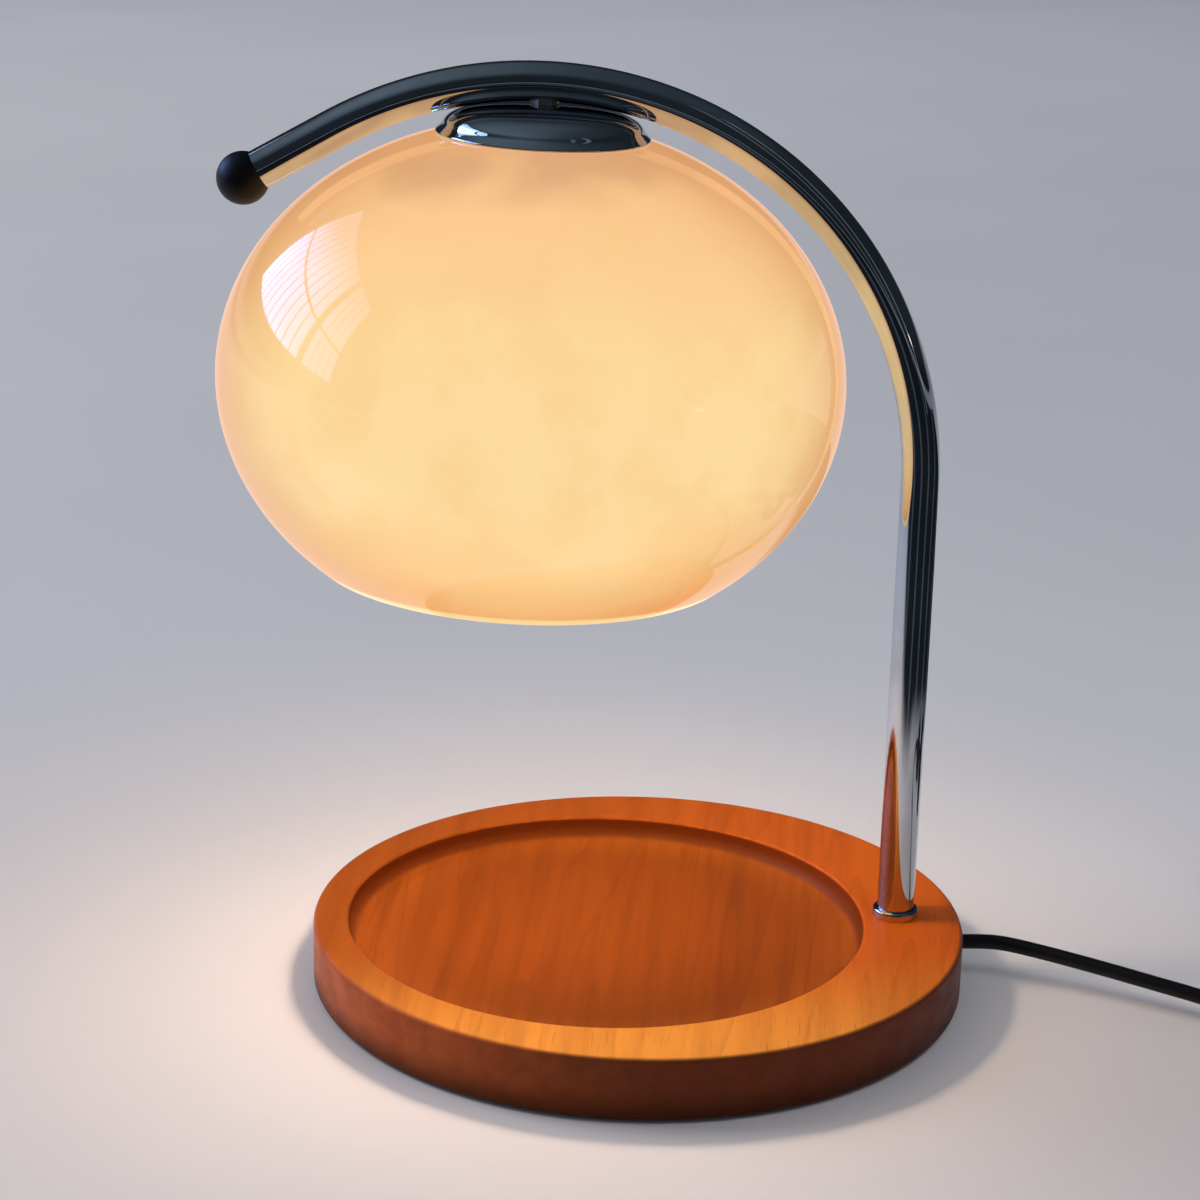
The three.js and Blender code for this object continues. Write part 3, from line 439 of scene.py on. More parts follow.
def rounded(corners, radii, steps=6):
    """Replaces each inner corner by an arc that touches both of its sides. The arc's centre lies on the
    corner's bisector, at radius / sin(half the corner's angle)."""
    p = np.asarray(corners, float)
    radii = np.broadcast_to(radii, len(p) - 2)
    pieces = [p[:1]]
    for i, radius in enumerate(radii, 1):
        a, b = unit(p[i - 1] - p[i]), unit(p[i + 1] - p[i])
        half = np.arccos(np.clip(a @ b, -1, 1)) / 2
        reach = radius / np.tan(half)
        centre = p[i] + unit(a + b) * radius / np.sin(half)
        k = np.linspace(0, 1, steps + 1)[:, None]
        turn = np.pi - 2 * half
        arc = centre + (np.sin((1 - k) * turn) * (p[i] + a * reach - centre)
                        + np.sin(k * turn) * (p[i] + b * reach - centre)) / np.sin(turn)
        guard = reach + GUARD * radius
        pieces += [[p[i] + a * guard], arc, [p[i] + b * guard]]
    return np.vstack([*pieces, p[-1:]])


def turned(outline, sides=128, shift=0.0):
    """A point at radius r and height h goes round as (shift + r cos a, r sin a, h)."""
    outline = np.asarray(outline, float)
    radius, height = outline[:, :1], outline[:, 1:2]
    a = all_round(sides)
    shift = np.broadcast_to(shift, len(outline))[:, None]
    return np.stack([shift + radius * np.cos(a), radius * np.sin(a), height + 0 * a], -1)


# %% [markdown]
# ## Wood
# The base is turned from a light, close-grained wood and stained orange-brown under a satin varnish. The
# grain runs from front to back, a little to the right at the front. Wood is darker and lighter in long
# streaks, has fine short pores along them, and shows broad arcs where the cut crosses the year rings.
# Stretched noise gives all three, and the turned points put the same pattern through the whole block.

# %% Sizes of the base
BASE_RADIUS, PAD_TOP, BASE_TOP = 105 * MM, 1 * MM, 21.1 * MM
RECESS_RADIUS, RECESS_FLOOR, RECESS_SHIFT = 83.4 * MM, 14.1 * MM, -10.5 * MM

# %% Wood's grain
GRAIN_TURN = (0, 0, np.radians(7))
RING_COUNT = 7.0  # dark rings from the noise's least value to its greatest
tree, shader = finish("stained_wood", Specular_IOR_Level=0.16, Specular_Tint=(1, 0.55, 0.25, 1))
rings = noise(place(tree, (30, 2.6, 30), GRAIN_TURN), 1.0, 2, 0.5, 0.5)
bands = reckon("FRACT", reckon("MULTIPLY", rings, RING_COUNT))
streaks = noise(place(tree, (150, 7, 150), GRAIN_TURN), 1.0, 4, 0.6)
pores = noise(place(tree, (1700, 60, 1700), GRAIN_TURN), 1.0, 2, 0.5)

# %% [markdown]
# The colour isn't even, and much of the unevenness is painted light. The recess is darker than the rim,
# partly from a deeper stain and partly as painted shade, and darker still at its front as painted shade. A
# paler band inside the recess's edge is a painted highlight, the front of the rim is paler as a painted
# reflection of the glow above it, the rim is painted darker on the left and lighter on the right, and the
# recess's wall is darker as painted shade. The side is darker as well, and its foot darker still. Each of
# these is a share that depends on the point's place, or on its distance from the axis of the base or the
# recess.

# %% Wood's stain and painted light
# Real stain and grain together with painted light and shade, each painted one marked where it is used.
STAIN_AND_LIGHT = {name: colour(*tint) for name, tint in {
    "recess shaded front": (113, 54, 12), "recess back": (139, 65, 14), "recess edge highlight": (186, 98, 34),
    "recess wall shade": (84, 32, 11), "rim shaded left": (148, 74, 20), "rim lit right": (194, 90, 19),
    "rim front reflection": (222, 149, 60), "streak": (112, 50, 14), "ring": (108, 46, 14),
    "pore": (110, 44, 14), "side lit left": (190, 92, 46), "side shaded right": (104, 50, 31),
    "side streak": (66, 28, 12), "foot": (50, 22, 12),
}.items()}
_, at = where_on_piece(tree)
in_plan = node(tree, "ShaderNodeCombineXYZ", {"X": at["X"], "Y": at["Y"]}).outputs[0]
from_axis = measure("LENGTH", in_plan)
from_recess = measure("DISTANCE", in_plan, (RECESS_SHIFT, 0, 0))
on_side = spread(from_axis, BASE_RADIUS - 1.4 * MM, BASE_RADIUS - 0.1 * MM)
on_rim = spread(from_recess, RECESS_RADIUS - 0.8 * MM, RECESS_RADIUS + 0.4 * MM)
# Painted highlight: a paler band inside the recess's edge.
edge_highlight = spread(from_recess, RECESS_RADIUS - 23.4 * MM, RECESS_RADIUS - 2.4 * MM, 0.0, 0.4)
# Painted shade: the recess's wall darkens below its rounded top edge.
wall_shade = reckon("MULTIPLY",
                 spread(from_recess, RECESS_RADIUS - 2.9 * MM, RECESS_RADIUS - 0.9 * MM, 0.0, 0.7),
                 spread(at["Z"], BASE_TOP - 1.0 * MM, BASE_TOP - 0.4 * MM, 1.0, 0.0))
# Painted reflection: the rim goes paler towards the front, standing for the glow above mirrored in the
# varnish.
towards_front = spread(at["Y"], -105 * MM, -20 * MM, 0.85, 0.0)
front_rim_reflection = reckon("MULTIPLY", on_rim, towards_front)
# Painted shade: the recess darkens towards its front.
recess_stain_and_light = blended(spread(at["Y"], -90 * MM, 0.0),
                      STAIN_AND_LIGHT["recess shaded front"], STAIN_AND_LIGHT["recess back"])
recess_stain_and_light = blended(edge_highlight, recess_stain_and_light, STAIN_AND_LIGHT["recess edge highlight"])
# Painted light: the rim is darker on the left and lighter on the right.
rim_stain_and_light = blended(spread(at["X"], -100 * MM, 100 * MM),
                   STAIN_AND_LIGHT["rim shaded left"], STAIN_AND_LIGHT["rim lit right"])
tint = blended(on_rim, recess_stain_and_light, rim_stain_and_light)
tint = blended(front_rim_reflection, tint, STAIN_AND_LIGHT["rim front reflection"])
tint = blended(wall_shade, tint, STAIN_AND_LIGHT["recess wall shade"])

# %% [markdown]
# The grain comes over the stain, fainter on the rim than in the recess. The side has its own stain and
# streaks. It is darker than the top, partly from its end grain and partly as painted shade, lighter on the
# left and darker on the right as painted light, and goes dark at its foot as painted shade.

# %% Wood finish
streak_share = spread(on_rim, 0.0, 1.0, 0.45, 0.22)
tint = blended(spread(streaks, 0.4, 0.7, 0.0, streak_share), tint, STAIN_AND_LIGHT["streak"])
ring_share = spread(on_rim, 0.0, 1.0, 0.35, 0.18)
tint = blended(spread(bands, 0.7, 1.0, 0.0, ring_share), tint, STAIN_AND_LIGHT["ring"])
tint = blended(spread(pores, 0.62, 0.72, 0.0, 0.3), tint, STAIN_AND_LIGHT["pore"])
# Painted light: the side is lighter on the left and darker on the right, and its dark tone is partly end
# grain and partly painted shade.
side_stain_and_shade = blended(spread(at["X"], -105 * MM, 10 * MM),
                    STAIN_AND_LIGHT["side lit left"], STAIN_AND_LIGHT["side shaded right"])
side_stain_and_shade = blended(spread(streaks, 0.35, 0.7, 0.0, 0.25), side_stain_and_shade, STAIN_AND_LIGHT["side streak"])
# Painted shade: the side goes dark at its foot, as a contact shadow.
side_stain_and_shade = blended(spread(at["Z"], -3 * MM, 13 * MM), STAIN_AND_LIGHT["foot"], side_stain_and_shade)
feed(shader, "Base Color", blended(on_side, tint, side_stain_and_shade))
feed(shader, "Roughness", spread(streaks, 0.3, 0.7, 0.4, 0.52))
relief = node(tree, "ShaderNodeBump", {
    "Height": reckon("ADD", pores, streaks), "Distance": 0.05 * MM, "Strength": 0.4})
feed(shader, "Normal", relief.outputs[0])
print("stained_wood:", len(tree.nodes), "nodes")

# %% [markdown]
# ## Base
# The base is a disc, 210 mm across and 20.1 mm thick, on a thin soft pad. Its recess lies off centre, away
# from the post. Rings of points can do this in one surface: from the middle of the underside out and
# over the rounded edges, each ring is a circle, and across the flat top the circles' middles slide to the
# recess's own middle, then down its wall, round the hollow corner and in over its floor.

# %% Base
EDGE_ROUND, RECESS_ROUND, RECESS_COVE = 1.6 * MM, 1.0 * MM, 4 * MM
UNDERSIDE_RING, FLOOR_RINGS = 1 * MM, (60 * MM, 30 * MM)
outside = rounded([(0, PAD_TOP), (BASE_RADIUS, PAD_TOP), (BASE_RADIUS, BASE_TOP),
                   (RECESS_RADIUS, BASE_TOP)], EDGE_ROUND, 8)[1:-1]
outside = np.vstack([[[UNDERSIDE_RING, PAD_TOP]], outside])
inside = rounded([(BASE_RADIUS, BASE_TOP), (RECESS_RADIUS, BASE_TOP), (RECESS_RADIUS, RECESS_FLOOR),
                  (0, RECESS_FLOOR)], [RECESS_ROUND, RECESS_COVE], 10)[1:-1]
inside = np.vstack([inside, [[ring, RECESS_FLOOR] for ring in FLOOR_RINGS]])
slide = np.concatenate([np.zeros(len(outside)), np.full(len(inside), RECESS_SHIFT)])
base = add_piece("base", turned(np.vstack([outside, inside]), 256, slide), "stained_wood",
                 stands_for=("base_disc",))

# %% [markdown]
# The lead comes out through a hole in the base's side. A drill is the natural way to make it, so a
# cylinder is taken away from the finished base, and a soft bushing lines the hole.

# %% Hole
EXIT_HEIGHT = 11.4 * MM
HOLE_RADIUS, HOLE_START, HOLE_END = 4.3 * MM, 90 * MM, 120 * MM


def sideways(points):
    """Lays an upright shape down along +X, at the height of the lead's exit."""
    return np.stack([points[..., 2], points[..., 1], EXIT_HEIGHT - points[..., 0]], -1)


drill = add_piece("drill", sideways(turned([(HOLE_RADIUS, HOLE_START), (HOLE_RADIUS, HOLE_END)], 48)),
                  "stained_wood")
cut = base.modifiers.new("hole", "BOOLEAN")
cut.object, cut.operation, cut.solver = drill, "DIFFERENCE", "EXACT"
bpy.context.view_layer.update()
drilled = bpy.data.meshes.new_from_object(base.evaluated_get(bpy.context.evaluated_depsgraph_get()))
base.modifiers.clear()
base.data = drilled
bpy.data.objects.remove(drill)
drilled.set_sharp_from_angle(angle=np.radians(40))
print("base with its hole:", len(drilled.polygons), "faces")

# %% Bushing
BUSHING_BORE, BUSHING_TIP, BUSHING_ROOT = 2.7 * MM, 3.2 * MM, 4.0 * MM
BUSHING_START, BUSHING_END = 95 * MM, 104.4 * MM
plain_finish("black_rubber", colour(26, 26, 27), (0.5, 0.65), 80, 1800, 0.00003)
bushing_outline = rounded([
    (BUSHING_BORE, BUSHING_START), (BUSHING_TIP, BUSHING_START), (BUSHING_ROOT, BUSHING_END),
    (BUSHING_BORE, BUSHING_END), (BUSHING_BORE, BUSHING_START)], [0.1 * MM, 0.4 * MM, 0.4 * MM], 4)[:-1]
add_piece("bushing", sideways(turned(bushing_outline, 48)), "black_rubber",
          stands_for=("lead_bushing",), ring=True)

# %% [markdown]
# ## Pad
# A thin rubber pad under the base keeps it from sliding and hides the well under the post.

# %% Pad
PAD_RADIUS, PAD_MIDDLE, PAD_ROUND = 101 * MM, 0.5 * MM, 0.3 * MM
pad_outline = rounded([(PAD_MIDDLE, 0), (PAD_RADIUS, 0), (PAD_RADIUS, PAD_TOP), (PAD_MIDDLE, PAD_TOP)],
                      PAD_ROUND, 3)
add_piece("pad", turned(pad_outline, 192), "black_rubber", stands_for=("base_pad",))

# %% [markdown]
# ## Chrome
# Tube, collar and dome are polished and plated. Chrome is a mirror with a cool tint, and what it shows is
# the room, so its finish needs little: the roughness drifts between clear and very slightly hazy.

# %% Chrome finish
plain_finish("polished_chrome", colour(214, 217, 222), (0.03, 0.07), 30, Metallic=1.0)

# %% [markdown]
# ## Arm
# The arm is one tube, 12 mm across: straight up, over in one arc of about 119 degrees, and straight on to
# the ball. Its path is two straights and an arc, and a circle is carried along it.

# %% Arm
POST_X, BEND_Z, BEND_RADIUS = 84 * MM, 166.7 * MM, 122.4 * MM
BEND_END, ARM_TAIL, TUBE_RADIUS = np.radians(119), 30.5 * MM, 6 * MM
bend_centre = np.array([POST_X - BEND_RADIUS, 0, BEND_Z])


def arm_point(angle):
    """A point on the arc: centre + radius * (cos a, 0, sin a)."""
    return bend_centre + BEND_RADIUS * np.stack([np.cos(angle), 0 * angle, np.sin(angle)], -1)


tail_direction = np.array([-np.sin(BEND_END), 0, np.cos(BEND_END)])
ball_centre = arm_point(BEND_END) + ARM_TAIL * tail_direction
post = np.linspace([POST_X, 0, BASE_TOP], [POST_X, 0, BEND_Z], 12)
tail = np.linspace(arm_point(BEND_END), ball_centre, 5)
arm_path = np.vstack([post, arm_point(np.linspace(0, BEND_END, 97)[1:]), tail[1:]])
add_piece("arm", tube(arm_path, TUBE_RADIUS, 64, (0, 1, 0)), "polished_chrome",
          stands_for=("arm_tube",))

# %% [markdown]
# A small collar with a rounded edge hides the hole that the post stands in.

# %% Collar
COLLAR_BORE, COLLAR_RADIUS, COLLAR_TOP = 6.05 * MM, 7.5 * MM, BASE_TOP + 3 * MM
collar_outline = rounded([
    (COLLAR_BORE, BASE_TOP), (COLLAR_RADIUS, BASE_TOP), (COLLAR_RADIUS, COLLAR_TOP),
    (COLLAR_BORE, COLLAR_TOP), (COLLAR_BORE, BASE_TOP)], [0.2 * MM, 1.1 * MM, 0.2 * MM], 8)[:-1]
add_piece("collar", turned(collar_outline, 96) + [POST_X, 0, 0], "polished_chrome",
          stands_for=("post_collar",), ring=True)

# %% [markdown]
# ## Ball
# The ball on the arm's end is matt black plastic. It is turned about the arm's own line.

# %% Ball
BALL_RADIUS, POLE = 8 * MM, 0.02
plain_finish("matt_black", colour(9, 9, 10), (0.42, 0.52), 90, 2200, 0.00003, Specular_IOR_Level=0.25)
angle = np.linspace(POLE, np.pi - POLE, 49)
ball_outline = BALL_RADIUS * np.stack([np.sin(angle), -np.cos(angle)], 1)
across = np.array([0, 1, 0])
ball_axes = np.array([across, np.cross(tail_direction, across), tail_direction])
add_piece("ball", ball_centre + turned(ball_outline, 96) @ ball_axes, "matt_black",
          stands_for=("ball_cap",))

# %% [markdown]
# ## What hangs on the stem
# Dome, glass and bulb hang on a threaded stem that leans by under two degrees. Each is turned about its
# own upright axis at the bend's centre, and then leaned and moved as one.

# %% Hanging frame
LEAN = np.radians(1.75)
LEANED = np.array([[np.cos(LEAN), 0, -np.sin(LEAN)], [0, 1, 0], [np.sin(LEAN), 0, np.cos(LEAN)]])


def hung(grid):
    """Leans points about the Y axis and moves them to the bend's centre."""
    return bend_centre + grid @ LEANED


# %% [markdown]
# ## Dome
# The dome is pressed from thin sheet: a short upright rim, a small flare, and a low crown up to the stem.
# Its outline is a smooth curve through a few measured points, and the same outline moved in by the
# sheet's thickness is its underside.

# %% Dome
DOME_RADIUS, DOME_HEIGHT, DOME_RIM, SHEET = 32.25 * MM, 9.5 * MM, 106.31 * MM, 1 * MM
DOME_SHARES = np.array([
    [1, 0], [1, 0.06], [0.975, 0.14], [0.945, 0.24], [0.915, 0.42], [0.86, 0.58], [0.74, 0.76],
    [0.55, 0.89], [0.32, 0.97], [0.135, 1]])


def inset(outline, wall):
    """The outline moved by a wall's thickness, square to its own direction."""
    way = unit(np.gradient(outline, axis=0))
    return outline + wall * np.stack([-way[:, 1], way[:, 0]], 1)


shares = smooth_path(np.pad(DOME_SHARES, ((0, 0), (0, 1))), 6)[:, :2]
crown = shares * [DOME_RADIUS, DOME_HEIGHT] + [0, DOME_RIM]
under = inset(crown, SHEET)
under[:, 1] = np.maximum(under[:, 1], DOME_RIM)
add_piece("dome", hung(turned(np.vstack([crown, under[::-1]]), 160)), "polished_chrome",
          stands_for=("shade_cap",), ring=True, sharp=60)

# %% [markdown]
# ## Glass
# The shade is a blown globe, flattened, of opal glass cased in amber. Lit from inside it glows evenly,
# paler at its middle height and deeper orange towards its openings, and the gather shows as faint clouds.
# The deepest orange low on the globe is partly a painted reflection of the wooden base. Seen along its
# edge the light crosses more amber, so a facing weight deepens the rim, as it does in glass. The lip round
# the mouth glows pale, partly as the opal showing and partly as a painted reflection. The outer face is
# polished and shows the room.

# %% Amber glass finish
# The lowest glow's deeper orange is partly a painted reflection of the wooden base.
GLOWS = [  # height above the table, and the glow there
    (0.143, colour(248, 190, 116)), (0.157, colour(251, 205, 138)), (0.186, colour(253, 220, 160)),
    (0.223, colour(253, 217, 156)), (0.249, colour(252, 206, 146)), (0.263, colour(252, 201, 143)),
    (0.273, colour(224, 173, 127))]
CLOUD_GLOW, EDGE_GLOW, LIP_GLOW_AND_REFLECTION = colour(246, 198, 132), colour(215, 152, 98), colour(242, 214, 152)
CLOUD_REACH = 10 * MM  # how far a big cloud moves the glow up or down
LIP_BOTTOM, LIP_TOP = 140.8 * MM, 142 * MM  # along the leaning axis
BODY, BODY_SHARE = (0.02, 0.012, 0.006, 1), 0.96
tree, shader = finish("amber_glass", IOR=1.5, Emission_Strength=0.98)
point, at = where_on_piece(tree)
big_clouds = noise(place(tree), 14, 2, 0.5)
small_clouds = noise(place(tree), 45, 3, 0.55)
level = reckon("ADD", at["Z"], spread(big_clouds, 0.3, 0.7, -CLOUD_REACH, CLOUD_REACH))
glow = GLOWS[0][1]
for (low, _), (high, glow_there) in zip(GLOWS, GLOWS[1:]):
    glow = blended(spread(level, low, high), glow, glow_there)
glow = blended(spread(small_clouds, 0.42, 0.66, 0.0, 0.3), glow, CLOUD_GLOW)
facing = node(tree, "ShaderNodeLayerWeight", {"Blend": 0.5}).outputs["Facing"]
glow = blended(spread(facing, 0.3, 0.95, 0.0, 0.9), glow, EDGE_GLOW)
along_axis = measure("DOT_PRODUCT", point, LEANED[2])
# Partly painted reflection: the lip's pale glow.
glow = blended(spread(along_axis, LIP_BOTTOM, LIP_TOP), LIP_GLOW_AND_REFLECTION, glow)
feed(shader, "Emission Color", glow)
body = node(tree, "ShaderNodeMix", {0: BODY_SHARE, 6: glow, 7: BODY}, data_type="RGBA").outputs[2]
feed(shader, "Base Color", body)
feed(shader, "Roughness", use(tree, mottle, Scale=60, Low=0.03, High=0.07))
print("amber_glass:", len(tree.nodes), "nodes")

# %% [markdown]
# The globe's outline is part of an ellipse, from the upper opening under the dome to the mouth below. The
# wall is 3 mm thick, and both lips are fire-polished, so they close in a half round.

# %% Shade
SHADE_RADIUS, SHADE_HALF_HEIGHT, SHADE_MIDDLE, SHADE_WALL = 96 * MM, 78.4 * MM, 32.2 * MM, 3 * MM
TOP_RADIUS, MOUTH_RADIUS = 20 * MM, 64 * MM


def globe(wall, steps=96):
    """An ellipse's outline between two openings: (a sin t, c + b cos t)."""
    top, mouth = np.arcsin(TOP_RADIUS / SHADE_RADIUS), np.pi - np.arcsin(MOUTH_RADIUS / SHADE_RADIUS)
    t = np.linspace(top, mouth, steps)
    return np.stack([(SHADE_RADIUS - wall) * np.sin(t),
                     SHADE_MIDDLE + (SHADE_HALF_HEIGHT - wall) * np.cos(t)], 1)


def lip(start, end, steps=8):
    """A half round from one wall's end to the other's, bulging away from the glass."""
    middle, half = (start + end) / 2, (start - end) / 2
    out = np.array([half[1], -half[0]])
    k = np.pi * np.arange(1, steps) / steps
    return middle + np.cos(k)[:, None] * half + np.sin(k)[:, None] * out


outer, inner = globe(0), globe(SHADE_WALL)[::-1]
bottom_lip, top_lip = lip(outer[-1], inner[0]), lip(inner[-1], outer[0])
glass_outline = np.vstack([outer, bottom_lip, inner, top_lip])
add_piece("shade", hung(turned(glass_outline, 192)), "amber_glass",
          stands_for=("glass_shade",), ring=True, sharp=80)

# %% [markdown]
# ## Dimmer
# The dimmer is a long moulded housing of two shells that meet in a fine seam, with half-round ends. Its
# rings are all the same outline, drawn in towards the middle where the edges are rounded.

# %% Dimmer outline
DIMMER_PLACE = MM * np.array([282, -17.7, 0])
DIMMER_WIDTH, DIMMER_LENGTH, DIMMER_SPLIT, DIMMER_TOP = 30 * MM, 64 * MM, 6.5 * MM, 16 * MM


def long_round(drawn_in, sides=48, straight=12):
    """A long outline with half-round ends, drawn in by a distance: two half circles and two straights."""
    radius = DIMMER_WIDTH / 2 - drawn_in
    reach = (DIMMER_LENGTH - DIMMER_WIDTH) / 2
    a = np.linspace(0, np.pi, sides)
    far = np.stack([radius * np.cos(a), reach + radius * np.sin(a)], 1)
    step = np.linspace(reach, -reach, straight + 1)[1:-1]
    left = np.stack([np.full(len(step), -radius), step], 1)
    return np.vstack([far, left, -far, -left])


def stacked(outline):
    """Rings of the long outline, one for each pair of drawn-in distance and height."""
    return np.stack([np.insert(long_round(drawn_in), 2, h, axis=1) for drawn_in, h in outline])


# %% Dimmer shells
plain_finish("black_plastic", colour(30, 30, 32), (0.34, 0.46), 70, 3000, 0.00002)
EDGE, SEAM_ROUND, SEAM, WAIST = 3.2 * MM, 0.5 * MM, 0.15 * MM, 14 * MM
lower_outline = rounded([(WAIST, 0), (0, 0), (0, DIMMER_SPLIT - SEAM), (WAIST, DIMMER_SPLIT - SEAM)],
                        [EDGE, SEAM_ROUND], 8)
upper_outline = rounded([(WAIST, DIMMER_SPLIT + SEAM), (0, DIMMER_SPLIT + SEAM), (0, DIMMER_TOP),
                         (WAIST, DIMMER_TOP)], [SEAM_ROUND, EDGE], 8)
lower_shell = add_piece("dimmer_lower_shell", DIMMER_PLACE + stacked(lower_outline), "black_plastic",
                        stands_for=("dimmer_lower",))
upper_shell = add_piece("dimmer_upper_shell", DIMMER_PLACE + stacked(upper_outline), "black_plastic",
                        stands_for=("dimmer_upper",))

# %% [markdown]
# ## Dial
# The dial is a fluted knob. Its radius swings in and out eighteen times round, the flutes fade at the
# rounded top edge, and the top is slightly dished.

# %% Dial
DIAL_RADIUS, DIAL_BOTTOM, DIAL_TOP, DIAL_SIDES = 12 * MM, 16.3 * MM, 22.3 * MM, 288
FLUTES, FLUTE_DEPTH, FLUTED_FROM = 18, 0.7 * MM, 0.85
DISH_RADIUS, DISH_DEPTH, DIAL_MIDDLE = 10 * MM, 0.5 * MM, 1 * MM
dial_outline = rounded([(DIAL_MIDDLE, DIAL_BOTTOM), (DIAL_RADIUS, DIAL_BOTTOM), (DIAL_RADIUS, DIAL_TOP),
                        (DIAL_MIDDLE, DIAL_TOP)], [0.3 * MM, 1.2 * MM], 6)
dial_grid = turned(dial_outline, DIAL_SIDES)
a = all_round(DIAL_SIDES)
share_out = np.clip((dial_outline[:, 0] / DIAL_RADIUS - FLUTED_FROM) / (1 - FLUTED_FROM), 0, 1)[:, None]
flute = FLUTE_DEPTH * share_out * (0.5 + 0.5 * np.cos(FLUTES * a)) / DIAL_RADIUS
dial_grid[..., :2] *= (1 - flute)[..., None]
on_top = dial_outline[:, 1] > DIAL_TOP - 0.01 * MM
dish = np.clip(1 - (dial_outline[:, 0] / DISH_RADIUS) ** 2, 0, 1) * on_top
dial_grid[..., 2] -= DISH_DEPTH * dish[:, None]
dial = add_piece("dial", DIMMER_PLACE + dial_grid, "black_plastic", body="dial",
                 stands_for=("dimmer_dial",))

# %% [markdown]
# ## Boots
# Where the lead enters the dimmer and the plug, a tapered boot of soft rubber keeps it from kinking. Five
# grooves let it bend, so its radius falls from root to tip with five dips.

# %% Boots
BOOT_LENGTH, BOOT_ROOT, BOOT_TIP = 20, 4.5, 3.3
BOOT_GROOVES = (0.5, 5, 2.8, 3.8, 17.6)


def grooves(y, depth, first, pitch, start, end):
    """How deep a row of grooves is at each y, in mm: raised cosines between a start and an end."""
    wave = np.cos(2 * np.pi * (y - first) / pitch)
    return depth * np.clip(wave, 0, 1) * ((y > start) & (y < end))


def boot_outline(steps=121):
    """Radius against length, worked out in mm: a straight taper less its grooves."""
    y = np.linspace(0, BOOT_LENGTH, steps)
    taper = BOOT_ROOT - (BOOT_ROOT - BOOT_TIP) * y / BOOT_LENGTH
    return MM * np.stack([taper - grooves(y, *BOOT_GROOVES), y], 1)


def boot_at(name, root, way, node_name):
    """A boot whose root is at a point and whose tip points along +Y or -Y."""
    grid = turned(boot_outline(), 40)
    laid = np.stack([grid[..., 0], way * grid[..., 2], way * -grid[..., 1]], -1)
    return add_piece(name, MM * np.array(root) + laid, "black_rubber", stands_for=(node_name,))


boot_in = boot_at("boot_in", (282, -50.0, 6.5), -1, "dimmer_boot_in")
boot_out = boot_at("boot_out", (282, 14.6, 6.5), 1, "dimmer_boot_out")
boot_plug = boot_at("boot_plug", (282, 126.0, 6.5), -1, "plug_boot")

# %% [markdown]
# ## Plug
# The plug is a moulded block that widens towards its two flat blades, with shallow finger grips on both
# sides. Each ring of its grid is a rounded rectangle, and its width and height change along the plug.

# %% Plug
PLUG_PLACE = MM * np.array([282, 126.3, 6.5])
PLUG_LENGTH, PLUG_HALF_HEIGHT, PLUG_CORNER, PLUG_END_ROUND = 30, 6.5, 2.6, 2.2
PLUG_HALF_WIDTH, PLUG_WIDENS_BY, PLUG_WIDENS_OVER, LEAST_CORNER = 7.5, 4.5, 18, 0.4
PLUG_GRIPS = (0.45, 5, 3, 3.8, 18.2)


def soft_box(half_width, half_height, corner, sides=12):
    """A rounded rectangle: four quarter circles on the corners of a smaller rectangle."""
    a = np.arange(4)[:, None] * np.pi / 2 + np.linspace(0, np.pi / 2, sides)
    inner = a[:, sides // 2 - 1:sides // 2]
    x = np.sign(np.cos(inner)) * (half_width - corner) + corner * np.cos(a)
    z = np.sign(np.sin(inner)) * (half_height - corner) + corner * np.sin(a)
    return np.stack([x.ravel(), z.ravel()], 1)


y = np.concatenate([[0, 0.1, 0.3, 0.8, 1.5], np.linspace(2.2, 27.8, 60), [28.5, 29.2, 29.7, 29.9, 30]])
into_round = PLUG_END_ROUND - np.minimum(np.minimum(y, PLUG_LENGTH - y), PLUG_END_ROUND)
drawn = PLUG_END_ROUND - np.sqrt(np.clip(PLUG_END_ROUND**2 - into_round**2, 0, None))
rise = np.clip(y / PLUG_WIDENS_OVER, 0, 1)
half_width = PLUG_HALF_WIDTH + PLUG_WIDENS_BY * rise**2 * (3 - 2 * rise)
rings = []
for w, d, g, along_y in zip(half_width, drawn, grooves(y, *PLUG_GRIPS), y):
    box = soft_box(w - d - g, PLUG_HALF_HEIGHT - d, max(PLUG_CORNER - d / 2, LEAST_CORNER))
    rings.append(MM * np.insert(box, 1, along_y, axis=1))
plug = add_piece("plug", PLUG_PLACE + np.stack(rings), "black_plastic", stands_for=("plug_body",))

# %% [markdown]
# The blades are flat brass with a round hole near the tip. A plate with a hole is a ring in both
# directions: from the hole's edge out to the plate's edge, over it, and back on the other side.

# %% Blades
BLADE_HALF_WIDTH, BLADE_AHEAD, BLADE_BEHIND, BLADE_OFFSET = 3.15, 5.0, 18.0, 6.35
BLADE_FACE, BLADE_EDGE, HOLE_AT, BLADE_HOLE = 0.75, 0.6, 42, 1.6
plain_finish("brass", colour(206, 176, 104), (0.2, 0.38), 120, 900, 0.00001, Metallic=1.0)


